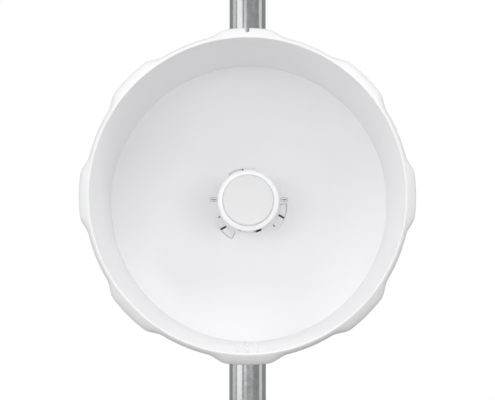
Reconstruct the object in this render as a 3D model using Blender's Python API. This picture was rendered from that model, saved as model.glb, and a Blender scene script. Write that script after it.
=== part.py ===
"""A point-to-point radio dish on its mast: a parabolic reflector with a deep lobed shroud round its mouth,
a feed on its axis, a tilt bracket and pole clamp behind it, and a short steel mast with a bolted foot.

Metres, +Z up. The dish looks along -Y, +X is to the right of someone who faces the dish, and the mast stands
on the origin, with the underside of its foot plate at z = 0.
"""

import math

import bmesh
import bpy
from mathutils import Matrix, Vector

# Clearance left between pieces that touch in the real assembly.
GAP = 0.0003

# Mast: two-inch galvanised pipe on a square foot plate.
MAST_RADIUS = 0.03015
MAST_WALL = 0.0029
MAST_TOP = 0.920
CAP_HEIGHT = 0.006
CAP_OVERHANG = 0.0012
CAP_PLUG_LENGTH = 0.020
FOOT_SIDE = 0.240
FOOT_THICKNESS = 0.010
FOOT_CORNER = 0.018
ANCHOR_OFFSET = 0.092
ANCHOR_RADIUS = 0.007
GUSSET_REACH = 0.068
GUSSET_HEIGHT = 0.080
GUSSET_THICKNESS = 0.006
GUSSET_NOSE = 0.012

# Dish axis: how far right of the mast it lies, its height, and how far the mouth stands in front of the mast.
DISH_X = 0.0039
DISH_HEIGHT = 0.550
MOUTH_Y = -0.390

# Reflector: a paraboloid of revolution, with its bore, its edge and the flange beyond the edge.
FOCAL_LENGTH = 0.1548
VERTEX_Y = -0.12346
SHEET = 0.0025
BORE_RADIUS = 0.0415
EDGE_RADIUS = 0.206
FLANGE_RADIUS = 0.2105

# Shroud: depths are measured back from the mouth, and the skirt hangs over the reflector's flange.
MOUTH_INNER_RADIUS = 0.2134
WALL = 0.003
WAIST_RADIUS = 0.2217
LOBE_RADIUS = 0.2293
LOBES = 8
LOBE_FLAT = 7.2
LOBE_FOOT = 14.0
LIP_DEPTH = 0.026
LIP_ROUND = 0.003
LOBE_FADE_DEPTH = 0.150
SKIRT_INNER_RADIUS = 0.2109
SKIRT_OUTER_RADIUS = 0.2137
SKIRT_OVERHANG = 0.0058
NOTCH_HALF_WIDTH = 0.0031
NOTCH_DEPTH = 0.008
NOTCH_RUN = 0.085
DRAIN_COLUMNS = (-0.0135, 0.0, 0.0135)
DRAIN_ROWS = (0.026, 0.068, 0.114, 0.161)
DRAIN_WIDTH = 0.003
DRAIN_LENGTH = 0.010
CLIP_HALF_WIDTH = 0.012
CLIP_THICKNESS = 0.003
CLIP_REACH = 0.004

# Feed on the dish axis.
FEED_FRONT_Y = -0.268
FEED_DISC_RADIUS = 0.0376
FEED_DISC_DEPTH = 0.0062
FEED_RING_RADIUS = 0.0438
FEED_RING_DEPTH = 0.012
FEED_NECK_RADIUS = 0.036
FEED_BASE_RADIUS = 0.0385
FEED_PLATE_RADIUS = 0.060
FEED_PLATE_FRONT_Y = -0.1187
FEED_PLATE_BACK_Y = -0.1120

# Bayonet lugs that show through windows in the reflector.
LUG_INNER_RADIUS = 0.0478
LUG_OUTER_RADIUS = 0.0574
LUG_ANGLES = (101.1, 221.1, 341.1)
LUG_HALF_SPAN = 21.0
LUG_SLOT_WIDTH = 0.0039
LUG_SLOT_FLOOR_Y = -0.1225
WINDOW_CLEARANCE = 0.0004
WINDOW_SPARE_ANGLE = 0.8

# Rear housing behind the reflector.
HUB_RING_RADIUS = 0.076
HUB_RING_BORE = 0.0605
HOUSING_FRONT_Y = -0.1107
HOUSING_FLANGE_Y = -0.104
HOUSING_BACK_Y = -0.062
HOUSING_HALF_WIDTH = 0.058
HOUSING_HALF_HEIGHT = 0.072
HOUSING_CORNER = 0.016
HOUSING_RIM = 0.005
COVER_HALF_WIDTH = 0.024
COVER_HALF_DEPTH = 0.016
COVER_THICKNESS = 0.0055
GLAND_FLANGE_RADIUS = 0.0105
GLAND_BODY_RADIUS = 0.0088
GLAND_NOSE_RADIUS = 0.0066
GLAND_LENGTH = 0.018
WINDOW_HALF_WIDTH = 0.013
WINDOW_HALF_HEIGHT = 0.0028
WINDOW_PROUD = 0.0016
WINDOW_Z = 0.055
EARTH_WASHER_RADIUS = 0.0065
EARTH_HEAD_RADIUS = 0.0045
EARTH_HEAD_HEIGHT = 0.0045
EARTH_Z = -0.048

# Tilt bracket: two arms and the plate between them, of three-millimetre steel.
PIVOT_Y = -0.084
PIVOT_BOSS_RADIUS = 0.013
LOCK_RADIUS = 0.034
LOCK_BOSS_RADIUS = 0.009
BOSS_FACE_X = 0.0657
STEEL = 0.003
ARM_INNER_X = BOSS_FACE_X + GAP
ARM_OUTER_X = ARM_INNER_X + STEEL
ARM_FRONT_Y = -0.104
BACK_PLATE_Y = -0.045
BACK_PLATE_HALF_HEIGHT = 0.050
ARM_NOSE_RADIUS = 0.020
ARM_NOSE_TOP = 0.030
ARM_NOSE_BOTTOM = -0.004
TILT_BOLT_RADIUS = 0.004
TILT_BOLT_HOLE = 0.0044
TILT_BOLT_HEAD_RADIUS = 0.0068
TILT_BOLT_HEAD_HEIGHT = 0.0060
BOLT_TIP_X = 0.0600
TILT_SLOT_SWEEP = 20.0
WASHER_RADIUS = 0.0085
WASHER_THICKNESS = 0.0016
WASHER_SINK = 0.0006

# Pole clamp: a grooved block in front of the mast and two grooved jaws behind it.
CLAMP_HALF_WIDTH = 0.050
CLAMP_BLOCK_HALF_HEIGHT = 0.046
GROOVE_HALF_ANGLE = 60.0
CLAMP_OPEN_Y = 0.020
CLAMP_BACK_Y = 0.0414
CLAMP_DRAFT = 0.004
JAW_HEIGHT = 0.026
JAW_OFFSET = 0.030
CLAMP_BOLT_X = 0.041
CLAMP_BOLT_RADIUS = 0.004
CLAMP_BOLT_HOLE = 0.0045
CLAMP_BOLT_END_Y = 0.058
CLAMP_HEAD_RADIUS = 0.0092
CLAMP_HEAD_HEIGHT = 0.0045
CLAMP_NUT_RADIUS = 0.0075
CLAMP_NUT_HEIGHT = 0.0075

# How far a cutter runs on past the faces that it goes through.
OVERCUT = 0.002

# Steps of arc for round pieces of several sizes.
LARGE_STEPS = 120
DISH_STEPS = 96
MEDIUM_STEPS = 48
BOSS_STEPS = 24
SMALL_STEPS = 16
HOLE_STEPS = 12
ARC_STEPS = 8

DISH_AXIS = Vector((DISH_X, 0, DISH_HEIGHT))


def new_material(name, colour, roughness, metallic=0.0):
    made = bpy.data.materials.new(name)
    made.use_nodes = True
    shader = made.node_tree.nodes["Principled BSDF"]
    shader.inputs["Base Color"].default_value = (*colour, 1)
    shader.inputs["Roughness"].default_value = roughness
    shader.inputs["Metallic"].default_value = metallic
    return made


def new_object(name, shape, material=None):
    """An object made from a bmesh, with its normals outwards and its round faces smooth."""
    bmesh.ops.remove_doubles(shape, verts=shape.verts, dist=1e-6)
    bmesh.ops.recalc_face_normals(shape, faces=shape.faces)
    mesh = bpy.data.meshes.new(name)
    shape.to_mesh(mesh)
    shape.free()
    mesh.shade_smooth()
    mesh.set_sharp_from_angle(angle=math.radians(35))
    made = bpy.data.objects.new(name, mesh)
    bpy.context.scene.collection.objects.link(made)
    if material:
        mesh.materials.append(material)
    return made


def as_cutter(obj):
    obj.hide_render = True
    obj.display_type = "WIRE"
    return obj


def combine(obj, other, operation="DIFFERENCE"):
    """Cuts another object from this one, or joins it on, and makes that other object a helper."""
    modifier = obj.modifiers.new(operation.title(), "BOOLEAN")
    modifier.operation = operation
    modifier.solver = "EXACT"
    modifier.object = as_cutter(other)


def turned(name, profile, steps, material=None, axis="Y", centre=DISH_AXIS):
    """A body of revolution. The profile holds (radius, place along the axis) points. It is an open line from
    axis to axis when it starts at radius 0, and otherwise a closed loop."""
    shape = bmesh.new()
    along = Vector((0, 1, 0)) if axis == "Y" else Vector((0, 0, 1)) if axis == "Z" else Vector((1, 0, 0))
    outward = Vector((0, 0, 1)) if axis == "X" else Vector((1, 0, 0))
    points = [shape.verts.new(outward * radius + along * place) for radius, place in profile]
    closed = profile[0][0] > 0
    pairs = list(zip(points, points[1:] + points[:1])) if closed else list(zip(points, points[1:]))
    edges = [shape.edges.new(pair) for pair in pairs]
    bmesh.ops.spin(
        shape, geom=points + edges, cent=(0, 0, 0), axis=along, angle=math.tau, steps=steps, use_merge=True
    )
    bmesh.ops.translate(shape, verts=shape.verts, vec=centre)
    return new_object(name, shape, material)


def swept_arc(name, profile, start, end, steps, material=None):
    """A closed (radius, y) section swept between two angles about the dish axis. Angles are in degrees,
    from +X towards +Z as seen by someone who faces the dish."""
    shape = bmesh.new()
    corners = [shape.verts.new((radius, y, 0)) for radius, y in profile]
    section = shape.faces.new(corners)
    turn = Matrix.Rotation(math.radians(-start), 4, "Y")
    bmesh.ops.transform(shape, matrix=turn, verts=shape.verts)
    bmesh.ops.spin(
        shape,
        geom=[section],
        cent=(0, 0, 0),
        axis=(0, -1, 0),
        angle=math.radians(end - start),
        steps=steps,
    )
    bmesh.ops.translate(shape, verts=shape.verts, vec=DISH_AXIS)
    return new_object(name, shape, material)


def extruded(name, outline, low, high, axis, material=None, bevel=0.0):
    """A flat outline given a thickness along an axis. Its points are the other two axes, in XYZ order."""
    place = {
        "X": lambda a, b: (low, a, b),
        "Y": lambda a, b: (a, low, b),
        "Z": lambda a, b: (a, b, low),
    }[axis]
    step = {"X": (high - low, 0, 0), "Y": (0, high - low, 0), "Z": (0, 0, high - low)}[axis]
    shape = bmesh.new()
    face = shape.faces.new([shape.verts.new(place(a, b)) for a, b in outline])
    made = bmesh.ops.extrude_face_region(shape, geom=[face])
    moved = [item for item in made["geom"] if isinstance(item, bmesh.types.BMVert)]
    bmesh.ops.translate(shape, verts=moved, vec=step)
    if bevel:
        bmesh.ops.recalc_face_normals(shape, faces=shape.faces)
        bmesh.ops.bevel(
            shape, geom=shape.edges[:], offset=bevel, segments=1, affect="EDGES", clamp_overlap=True
        )
    return new_object(name, shape, material)


def box(name, low, high, material=None, bevel=0.0):
    outline = [(low[0], low[1]), (high[0], low[1]), (high[0], high[1]), (low[0], high[1])]
    return extruded(name, outline, low[2], high[2], "Z", material, bevel)


def rounded_outline(half_width, half_height, radius, steps=4, centre=(0, 0)):
    """A rectangle with quarter-round corners."""
    points = []
    for corner, (sx, sy) in enumerate(((1, 1), (-1, 1), (-1, -1), (1, -1))):
        for step in range(steps + 1):
            angle = math.radians(90 * (corner + step / steps))
            points.append(
                (
                    centre[0] + sx * (half_width - radius) + radius * math.cos(angle),
                    centre[1] + sy * (half_height - radius) + radius * math.sin(angle),
                )
            )
    return points


def arc_points(centre, radius, start, end, steps):
    return [
        (
            centre[0] + radius * math.cos(math.radians(start + (end - start) * step / steps)),
            centre[1] + radius * math.sin(math.radians(start + (end - start) * step / steps)),
        )
        for step in range(steps + 1)
    ]


def reflector_y(radius):
    """The front surface of the reflector at a distance from the dish axis."""
    return VERTEX_Y - radius * radius / (4 * FOCAL_LENGTH)


def shroud_inner_radius(depth):
    """The straight taper of the shroud's inner wall, from the mouth to the reflector's edge."""
    full = reflector_y(EDGE_RADIUS) - MOUTH_Y
    return MOUTH_INNER_RADIUS + (EDGE_RADIUS + GAP - MOUTH_INNER_RADIUS) * depth / full


def lobe_share(angle):
    """1 on the flat of a lobe, 0 on the waist between two lobes, and an S-curve between them."""
    pitch = 360 / LOBES
    off = abs((angle + pitch / 2) % pitch - pitch / 2)
    step = min(max((off - LOBE_FLAT) / (LOBE_FOOT - LOBE_FLAT), 0), 1)
    return 1 - step * step * (3 - 2 * step)


def on_dish(x, z):
    """A place seen from the front, in metres right of and above the dish axis."""
    return (DISH_X + x, DISH_HEIGHT + z)


def model_reflector(white):
    stations = (BORE_RADIUS, 0.070, 0.098, 0.125, 0.150, 0.178, EDGE_RADIUS)
    edge_y = reflector_y(EDGE_RADIUS)
    front = [(radius, reflector_y(radius)) for radius in stations]
    flange = [(FLANGE_RADIUS, edge_y), (FLANGE_RADIUS, edge_y + SHEET)]
    back = [(radius, y + SHEET) for radius, y in reversed(front)]
    dish = turned("reflector_dish", front + flange + back, DISH_STEPS, white)
    before = reflector_y(LUG_OUTER_RADIUS) - OVERCUT
    behind = reflector_y(LUG_INNER_RADIUS) + SHEET + OVERCUT
    window = [
        (LUG_INNER_RADIUS - WINDOW_CLEARANCE, before),
        (LUG_OUTER_RADIUS + WINDOW_CLEARANCE, before),
        (LUG_OUTER_RADIUS + WINDOW_CLEARANCE, behind),
        (LUG_INNER_RADIUS - WINDOW_CLEARANCE, behind),
    ]
    margin = math.degrees(WINDOW_CLEARANCE / LUG_INNER_RADIUS)
    for number, angle in enumerate(LUG_ANGLES, 1):
        start = angle - LUG_HALF_SPAN - margin - WINDOW_SPARE_ANGLE
        end = angle + LUG_HALF_SPAN + margin
        combine(dish, swept_arc(f"cut_window_{number}", window, start, end, ARC_STEPS))


def shroud_rows():
    """The outer skin of the shroud from the crest of its lip backwards: (depth, radius at the waist,
    radius at a lobe). The waists end behind the lip, and each lobe runs on as a rib that sinks into
    the wall."""
    rows = [
        (0.0, 0.2151, 0.2151),
        (0.0007, 0.2167, 0.2170),
        (0.0035, 0.2190, 0.2216),
        (0.0070, 0.2207, 0.2257),
        (0.0110, 0.2216, 0.2286),
        (0.0150, WAIST_RADIUS, LOBE_RADIUS),
        (LIP_DEPTH, WAIST_RADIUS, LOBE_RADIUS),
    ]
    lip_back = LIP_DEPTH + LIP_ROUND
    crown = LOBE_RADIUS - LIP_ROUND / 4
    rows.append((lip_back, WAIST_RADIUS - LIP_ROUND / 2, crown))
    end = shroud_inner_radius(LOBE_FADE_DEPTH) + WALL
    for depth in (0.036, 0.070, 0.110):
        share = (depth - lip_back) / (LOBE_FADE_DEPTH - lip_back)
        rows.append((depth, shroud_inner_radius(depth) + WALL, crown + (end - crown) * share))
    rows.append((LOBE_FADE_DEPTH, end, end))
    return rows


def model_shroud(white):
    rows = shroud_rows()
    seat = reflector_y(EDGE_RADIUS) - MOUTH_Y - GAP
    shoulder = seat - SKIRT_OVERHANG
    rear = [
        (shoulder - 0.0040, shroud_inner_radius(shoulder - 0.0040) + WALL),
        (shoulder - 0.0010, SKIRT_OUTER_RADIUS - 0.0010),
        (shoulder, SKIRT_OUTER_RADIUS),
        (seat + SKIRT_OVERHANG, SKIRT_OUTER_RADIUS),
        (seat + SKIRT_OVERHANG, SKIRT_INNER_RADIUS),
        (seat, SKIRT_INNER_RADIUS),
        (seat, shroud_inner_radius(seat)),
    ]
    inner = [(0.0022, MOUTH_INNER_RADIUS), (0.0006, MOUTH_INNER_RADIUS + 0.0006)]
    profile = [(waist, MOUTH_Y + depth) for depth, waist, _ in rows]
    profile += [(radius, MOUTH_Y + depth) for depth, radius in rear + inner]
    shape = bmesh.new()
    points = [shape.verts.new((radius, y, 0)) for radius, y in profile]
    edges = [shape.edges.new(pair) for pair in zip(points, points[1:] + points[:1])]
    bmesh.ops.spin(
        shape,
        geom=points + edges,
        cent=(0, 0, 0),
        axis=(0, 1, 0),
        angle=math.tau,
        steps=LARGE_STEPS,
        use_merge=True,
    )
    swell = {(round(MOUTH_Y + depth, 6), round(waist, 6)): lobe - waist for depth, waist, lobe in rows}
    for vert in shape.verts:
        radius = math.hypot(vert.co.x, vert.co.z)
        extra = swell.get((round(vert.co.y, 6), round(radius, 6)), 0)
        share = lobe_share(math.degrees(math.atan2(vert.co.z, vert.co.x)))
        scale = (radius + extra * share) / radius
        vert.co.x *= scale
        vert.co.z *= scale
    bmesh.ops.translate(shape, verts=shape.verts, vec=DISH_AXIS)
    shroud = new_object("isolator_shroud", shape, white)
    floor = LOBE_RADIUS - NOTCH_DEPTH + NOTCH_HALF_WIDTH
    clear = LOBE_RADIUS + OVERCUT
    notch = [on_dish(NOTCH_HALF_WIDTH, clear), on_dish(-NOTCH_HALF_WIDTH, clear)]
    notch += arc_points(on_dish(0, floor), NOTCH_HALF_WIDTH, 180, 360, 6)
    combine(shroud, extruded("cut_notch", notch, MOUTH_Y - OVERCUT, MOUTH_Y + NOTCH_RUN, "Y"))
    combine(shroud, drain_cutter())


def drain_cutter():
    """Twelve slots through the lowest part of the shroud's wall, in three columns."""
    shape = bmesh.new()
    near = EDGE_RADIUS - OVERCUT
    far = LOBE_RADIUS + OVERCUT
    size = (DRAIN_WIDTH, DRAIN_LENGTH, far - near)
    for x in DRAIN_COLUMNS:
        for depth in DRAIN_ROWS:
            place = (DISH_X + x, MOUTH_Y + depth, DISH_HEIGHT - (near + far) / 2)
            made = bmesh.ops.create_cube(shape, size=1)
            bmesh.ops.scale(shape, vec=size, verts=made["verts"])
            bmesh.ops.translate(shape, vec=place, verts=made["verts"])
    return new_object("cut_drains", shape)


def model_shroud_clips(white):
    """One hook behind each lobe. It holds the shroud's skirt down on the reflector's flange."""
    edge = reflector_y(EDGE_RADIUS)
    near = SKIRT_OUTER_RADIUS + GAP
    far = near + CLIP_THICKNESS
    front = edge - SKIRT_OVERHANG
    step = edge + SKIRT_OVERHANG
    back = step + CLIP_THICKNESS
    tooth = FLANGE_RADIUS - CLIP_REACH
    hook = [
        (near, front),
        (far, front),
        (far, back),
        (tooth, back),
        (tooth, edge + SHEET + GAP),
        (FLANGE_RADIUS, edge + SHEET + GAP),
        (FLANGE_RADIUS, step),
        (near, step),
    ]
    for number in range(LOBES):
        shape = bmesh.new()
        face = shape.faces.new([shape.verts.new((radius, y, -CLIP_HALF_WIDTH)) for radius, y in hook])
        made = bmesh.ops.extrude_face_region(shape, geom=[face])
        moved = [item for item in made["geom"] if isinstance(item, bmesh.types.BMVert)]
        bmesh.ops.translate(shape, verts=moved, vec=(0, 0, 2 * CLIP_HALF_WIDTH))
        turn = Matrix.Rotation(-math.tau * number / LOBES, 4, "Y")
        bmesh.ops.transform(shape, matrix=Matrix.Translation(DISH_AXIS) @ turn, verts=shape.verts)
        new_object(f"shroud_clip_{number + 1}", shape, white)


def model_feed(white):
    disc_back = FEED_FRONT_Y + FEED_DISC_DEPTH
    disc = [
        (0, FEED_FRONT_Y),
        (FEED_DISC_RADIUS - 0.0022, FEED_FRONT_Y),
        (FEED_DISC_RADIUS - 0.0007, FEED_FRONT_Y + 0.0006),
        (FEED_DISC_RADIUS, FEED_FRONT_Y + 0.0022),
        (FEED_DISC_RADIUS, disc_back),
        (0, disc_back),
    ]
    turned("feed_front_disc", disc, MEDIUM_STEPS, white)
    ring_front = disc_back + GAP
    ring_back = ring_front + FEED_RING_DEPTH
    ring = [
        (0, ring_front),
        (FEED_RING_RADIUS - 0.0040, ring_front),
        (FEED_RING_RADIUS - 0.0012, ring_front + 0.0012),
        (FEED_RING_RADIUS, ring_front + 0.0040),
        (FEED_RING_RADIUS, ring_back - 0.0015),
        (FEED_RING_RADIUS - 0.0015, ring_back),
        (0, ring_back),
    ]
    turned("feed_flange_ring", ring, MEDIUM_STEPS, white)
    body_front = ring_back + GAP
    body = [
        (0, body_front),
        (FEED_NECK_RADIUS, body_front),
        (FEED_BASE_RADIUS, FEED_PLATE_FRONT_Y),
        (FEED_PLATE_RADIUS, FEED_PLATE_FRONT_Y),
        (FEED_PLATE_RADIUS, FEED_PLATE_BACK_Y),
        (0, FEED_PLATE_BACK_Y),
    ]
    turned("feed_body", body, MEDIUM_STEPS, white)
    lug = [
        (LUG_INNER_RADIUS, reflector_y(LUG_INNER_RADIUS)),
        (LUG_OUTER_RADIUS, reflector_y(LUG_OUTER_RADIUS)),
        (LUG_OUTER_RADIUS, FEED_PLATE_FRONT_Y - GAP),
        (LUG_INNER_RADIUS, FEED_PLATE_FRONT_Y - GAP),
    ]
    before = reflector_y(LUG_OUTER_RADIUS) - OVERCUT
    slot = [
        (LUG_INNER_RADIUS - OVERCUT, before),
        (LUG_OUTER_RADIUS + OVERCUT, before),
        (LUG_OUTER_RADIUS + OVERCUT, LUG_SLOT_FLOOR_Y),
        (LUG_INNER_RADIUS - OVERCUT, LUG_SLOT_FLOOR_Y),
    ]
    half = math.degrees(LUG_SLOT_WIDTH / (LUG_INNER_RADIUS + LUG_OUTER_RADIUS))
    for number, angle in enumerate(LUG_ANGLES, 1):
        start, end = angle - LUG_HALF_SPAN, angle + LUG_HALF_SPAN
        made = swept_arc(f"bayonet_lug_{number}", lug, start, end, ARC_STEPS, white)
        combine(made, swept_arc(f"cut_lug_{number}", slot, angle - half, angle + half, 2))


def model_rear_housing(white, dark, smoked, steel):
    seat = [
        (HUB_RING_BORE, reflector_y(HUB_RING_BORE) + SHEET + GAP),
        (HUB_RING_RADIUS, reflector_y(HUB_RING_RADIUS) + SHEET + 2 * GAP),
        (HUB_RING_RADIUS, HOUSING_FRONT_Y - GAP),
        (HUB_RING_BORE, HOUSING_FRONT_Y - GAP),
    ]
    turned("hub_ring", seat, MEDIUM_STEPS, white)
    flange = [
        (0, HOUSING_FRONT_Y),
        (HUB_RING_RADIUS, HOUSING_FRONT_Y),
        (HUB_RING_RADIUS, HOUSING_FLANGE_Y),
        (0, HOUSING_FLANGE_Y),
    ]
    housing = turned("rear_housing", flange, MEDIUM_STEPS, white)
    outline = rounded_outline(HOUSING_HALF_WIDTH, HOUSING_HALF_HEIGHT, HOUSING_CORNER, 4, (DISH_X, DISH_HEIGHT))
    body = extruded("join_body", outline, HOUSING_FLANGE_Y - OVERCUT, HOUSING_BACK_Y, "Y")
    round_back_rim(body)
    combine(housing, body, "UNION")
    for side, name in ((-1, "left"), (1, "right")):
        root = side * (HOUSING_HALF_WIDTH - 2 * OVERCUT)
        face = side * BOSS_FACE_X
        floor = side * BOLT_TIP_X
        for part, radius, z in (("pivot", PIVOT_BOSS_RADIUS, 0), ("lock", LOCK_BOSS_RADIUS, LOCK_RADIUS)):
            boss = [
                (0, root),
                (radius, root),
                (radius, face),
                (TILT_BOLT_HOLE, face),
                (TILT_BOLT_HOLE, floor),
                (0, floor),
            ]
            centre = Vector((DISH_X, PIVOT_Y, DISH_HEIGHT + z))
            made = turned(f"join_{part}_{name}", boss, BOSS_STEPS, axis="X", centre=centre)
            combine(housing, made, "UNION")
    underside = DISH_HEIGHT - HOUSING_HALF_HEIGHT
    low = (DISH_X - COVER_HALF_WIDTH, PIVOT_Y - COVER_HALF_DEPTH, underside - COVER_THICKNESS)
    high = (DISH_X + COVER_HALF_WIDTH, PIVOT_Y + COVER_HALF_DEPTH, underside - GAP)
    box("port_cover", low, high, white, 0.0012)
    top = underside - COVER_THICKNESS - GAP
    gland = [
        (0, top),
        (GLAND_FLANGE_RADIUS, top),
        (GLAND_FLANGE_RADIUS, top - 0.004),
        (GLAND_BODY_RADIUS, top - 0.005),
        (GLAND_BODY_RADIUS, top - GLAND_LENGTH + 0.003),
        (GLAND_NOSE_RADIUS, top - GLAND_LENGTH),
        (0, top - GLAND_LENGTH),
    ]
    turned("cable_gland", gland, SMALL_STEPS, dark, "Z", Vector((DISH_X, PIVOT_Y, 0)))
    corner = WINDOW_HALF_HEIGHT - GAP
    centre = (DISH_X, DISH_HEIGHT + WINDOW_Z)
    window = rounded_outline(WINDOW_HALF_WIDTH, WINDOW_HALF_HEIGHT, corner, 3, centre)
    extruded("led_window", window, HOUSING_BACK_Y + GAP, HOUSING_BACK_Y + WINDOW_PROUD, "Y", smoked)
    seat_x = HOUSING_HALF_WIDTH + GAP
    washer_x = seat_x + EARTH_HEAD_HEIGHT / 4
    screw = [
        (0, seat_x),
        (EARTH_WASHER_RADIUS, seat_x),
        (EARTH_WASHER_RADIUS, washer_x),
        (EARTH_HEAD_RADIUS, washer_x),
        (EARTH_HEAD_RADIUS, seat_x + EARTH_HEAD_HEIGHT),
        (0, seat_x + EARTH_HEAD_HEIGHT),
    ]
    centre = Vector((DISH_X, PIVOT_Y, DISH_HEIGHT + EARTH_Z))
    turned("ground_screw", screw, HOLE_STEPS, steel, "X", centre)


def round_back_rim(body):
    """Rounds the rim of the housing's back face."""
    shape = bmesh.new()
    shape.from_mesh(body.data)
    rim = [edge for edge in shape.edges if all(abs(v.co.y - HOUSING_BACK_Y) < 1e-6 for v in edge.verts)]
    bmesh.ops.bevel(shape, geom=rim, offset=HOUSING_RIM, segments=2, affect="EDGES", profile=0.5)
    bmesh.ops.recalc_face_normals(shape, faces=shape.faces)
    shape.to_mesh(body.data)
    shape.free()


def arm_outline():
    """One arm of the tilt bracket seen from the side, in (y, z): square at its back, round at its front."""
    rear = BACK_PLATE_Y - GAP
    corner = BACK_PLATE_HALF_HEIGHT
    nose = ARM_FRONT_Y + ARM_NOSE_RADIUS
    top = arc_points((nose, DISH_HEIGHT + ARM_NOSE_TOP), ARM_NOSE_RADIUS, 90, 180, 5)
    bottom = arc_points((nose, DISH_HEIGHT + ARM_NOSE_BOTTOM), ARM_NOSE_RADIUS, 180, 270, 5)
    return [(rear, DISH_HEIGHT - corner), (rear, DISH_HEIGHT + corner)] + top + bottom


def model_tilt_bracket(zinc, steel):
    pivot = (PIVOT_Y, DISH_HEIGHT)
    rear, front = 90 - TILT_SLOT_SWEEP, 90 + TILT_SLOT_SWEEP
    slot = arc_points(pivot, LOCK_RADIUS + TILT_BOLT_HOLE, rear, front, ARC_STEPS)
    slot += arc_points(pivot, LOCK_RADIUS - TILT_BOLT_HOLE, front, rear, ARC_STEPS)
    for side, name in ((-1, "left"), (1, "right")):
        low, high = sorted((DISH_X + side * ARM_INNER_X, DISH_X + side * ARM_OUTER_X))
        arm = extruded(f"tilt_arm_{name}", arm_outline(), low, high, "X", zinc)
        combine(arm, extruded(f"cut_slot_{name}", slot, low - OVERCUT, high + OVERCUT, "X"))
        hole = [
            (0, low - OVERCUT),
            (TILT_BOLT_HOLE, low - OVERCUT),
            (TILT_BOLT_HOLE, high + OVERCUT),
            (0, high + OVERCUT),
        ]
        centre = Vector((0, *pivot))
        combine(arm, turned(f"cut_arm_{name}", hole, HOLE_STEPS, axis="X", centre=centre))
        for part, z in (("pivot", 0), ("lock", LOCK_RADIUS)):
            model_tilt_bolt(f"tilt_{part}_bolt_{name}", side, z, steel)
    outline = rounded_outline(ARM_OUTER_X, BACK_PLATE_HALF_HEIGHT, STEEL, 2, (DISH_X, DISH_HEIGHT))
    plate = extruded("tilt_bracket_back", outline, BACK_PLATE_Y, BACK_PLATE_Y + STEEL, "Y", zinc)
    holes = clamp_hole_cutter("cut_back_plate", BACK_PLATE_Y - OVERCUT, BACK_PLATE_Y + STEEL + OVERCUT)
    combine(plate, holes)


def model_tilt_bolt(name, side, z, steel):
    """A washer and a hexagon head outside the arm, and a shank through it into the boss."""
    tip = side * (BOLT_TIP_X + GAP)
    face = side * (ARM_OUTER_X + GAP)
    washer = face + side * WASHER_THICKNESS
    shank = [
        (0, tip),
        (TILT_BOLT_RADIUS, tip),
        (TILT_BOLT_RADIUS, face),
        (WASHER_RADIUS, face),
        (WASHER_RADIUS, washer),
        (0, washer),
    ]
    centre = Vector((DISH_X, PIVOT_Y, DISH_HEIGHT + z))
    bolt = turned(name, shank, SMALL_STEPS, steel, "X", centre)
    foot = washer - side * WASHER_SINK
    crown = foot + side * TILT_BOLT_HEAD_HEIGHT
    head = [(0, foot), (TILT_BOLT_HEAD_RADIUS, foot), (TILT_BOLT_HEAD_RADIUS, crown), (0, crown)]
    combine(bolt, turned(f"join_{name}", head, 6, axis="X", centre=centre), "UNION")


def clamp_hole_cutter(name, low, high, heights=(-JAW_OFFSET, JAW_OFFSET)):
    shape = bmesh.new()
    along_y = Matrix.Rotation(math.pi / 2, 4, "X")
    for x in (-CLAMP_BOLT_X, CLAMP_BOLT_X):
        for z in heights:
            bmesh.ops.create_cone(
                shape,
                cap_ends=True,
                segments=HOLE_STEPS,
                radius1=CLAMP_BOLT_HOLE,
                radius2=CLAMP_BOLT_HOLE,
                depth=high - low,
                matrix=Matrix.Translation((x, (low + high) / 2, DISH_HEIGHT + z)) @ along_y,
            )
    return new_object(name, shape)


def grooved_outline(side):
    """The clamp's section seen from above, with a wide V groove that the mast lies in. side is -1 in front of
    the mast and 1 behind it."""
    half_angle = math.radians(GROOVE_HALF_ANGLE)
    apex = (MAST_RADIUS + GAP) / math.sin(half_angle)
    mouth = (apex - CLAMP_OPEN_Y) * math.tan(half_angle)
    return [
        (CLAMP_HALF_WIDTH, side * CLAMP_OPEN_Y),
        (mouth, side * CLAMP_OPEN_Y),
        (0, side * apex),
        (-mouth, side * CLAMP_OPEN_Y),
        (-CLAMP_HALF_WIDTH, side * CLAMP_OPEN_Y),
        (-CLAMP_HALF_WIDTH + CLAMP_DRAFT, side * CLAMP_BACK_Y),
        (CLAMP_HALF_WIDTH - CLAMP_DRAFT, side * CLAMP_BACK_Y),
    ]


def model_pole_clamp(cast, steel):
    low, high = DISH_HEIGHT - CLAMP_BLOCK_HALF_HEIGHT, DISH_HEIGHT + CLAMP_BLOCK_HALF_HEIGHT
    block = extruded("pole_block", grooved_outline(-1), low, high, "Z", cast)
    combine(block, clamp_hole_cutter("cut_block", -CLAMP_BACK_Y - OVERCUT, -CLAMP_OPEN_Y + OVERCUT))
    for name, z in (("upper", JAW_OFFSET), ("lower", -JAW_OFFSET)):
        low, high = DISH_HEIGHT + z - JAW_HEIGHT / 2, DISH_HEIGHT + z + JAW_HEIGHT / 2
        jaw = extruded(f"clamp_jaw_{name}", grooved_outline(1), low, high, "Z", cast)
        holes = clamp_hole_cutter(f"cut_jaw_{name}", CLAMP_OPEN_Y - OVERCUT, CLAMP_BACK_Y + OVERCUT, (z,))
        combine(jaw, holes)
        for side, x in (("left", -CLAMP_BOLT_X), ("right", CLAMP_BOLT_X)):
            model_clamp_bolt(f"clamp_bolt_{name}_{side}", x, z, steel)


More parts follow.
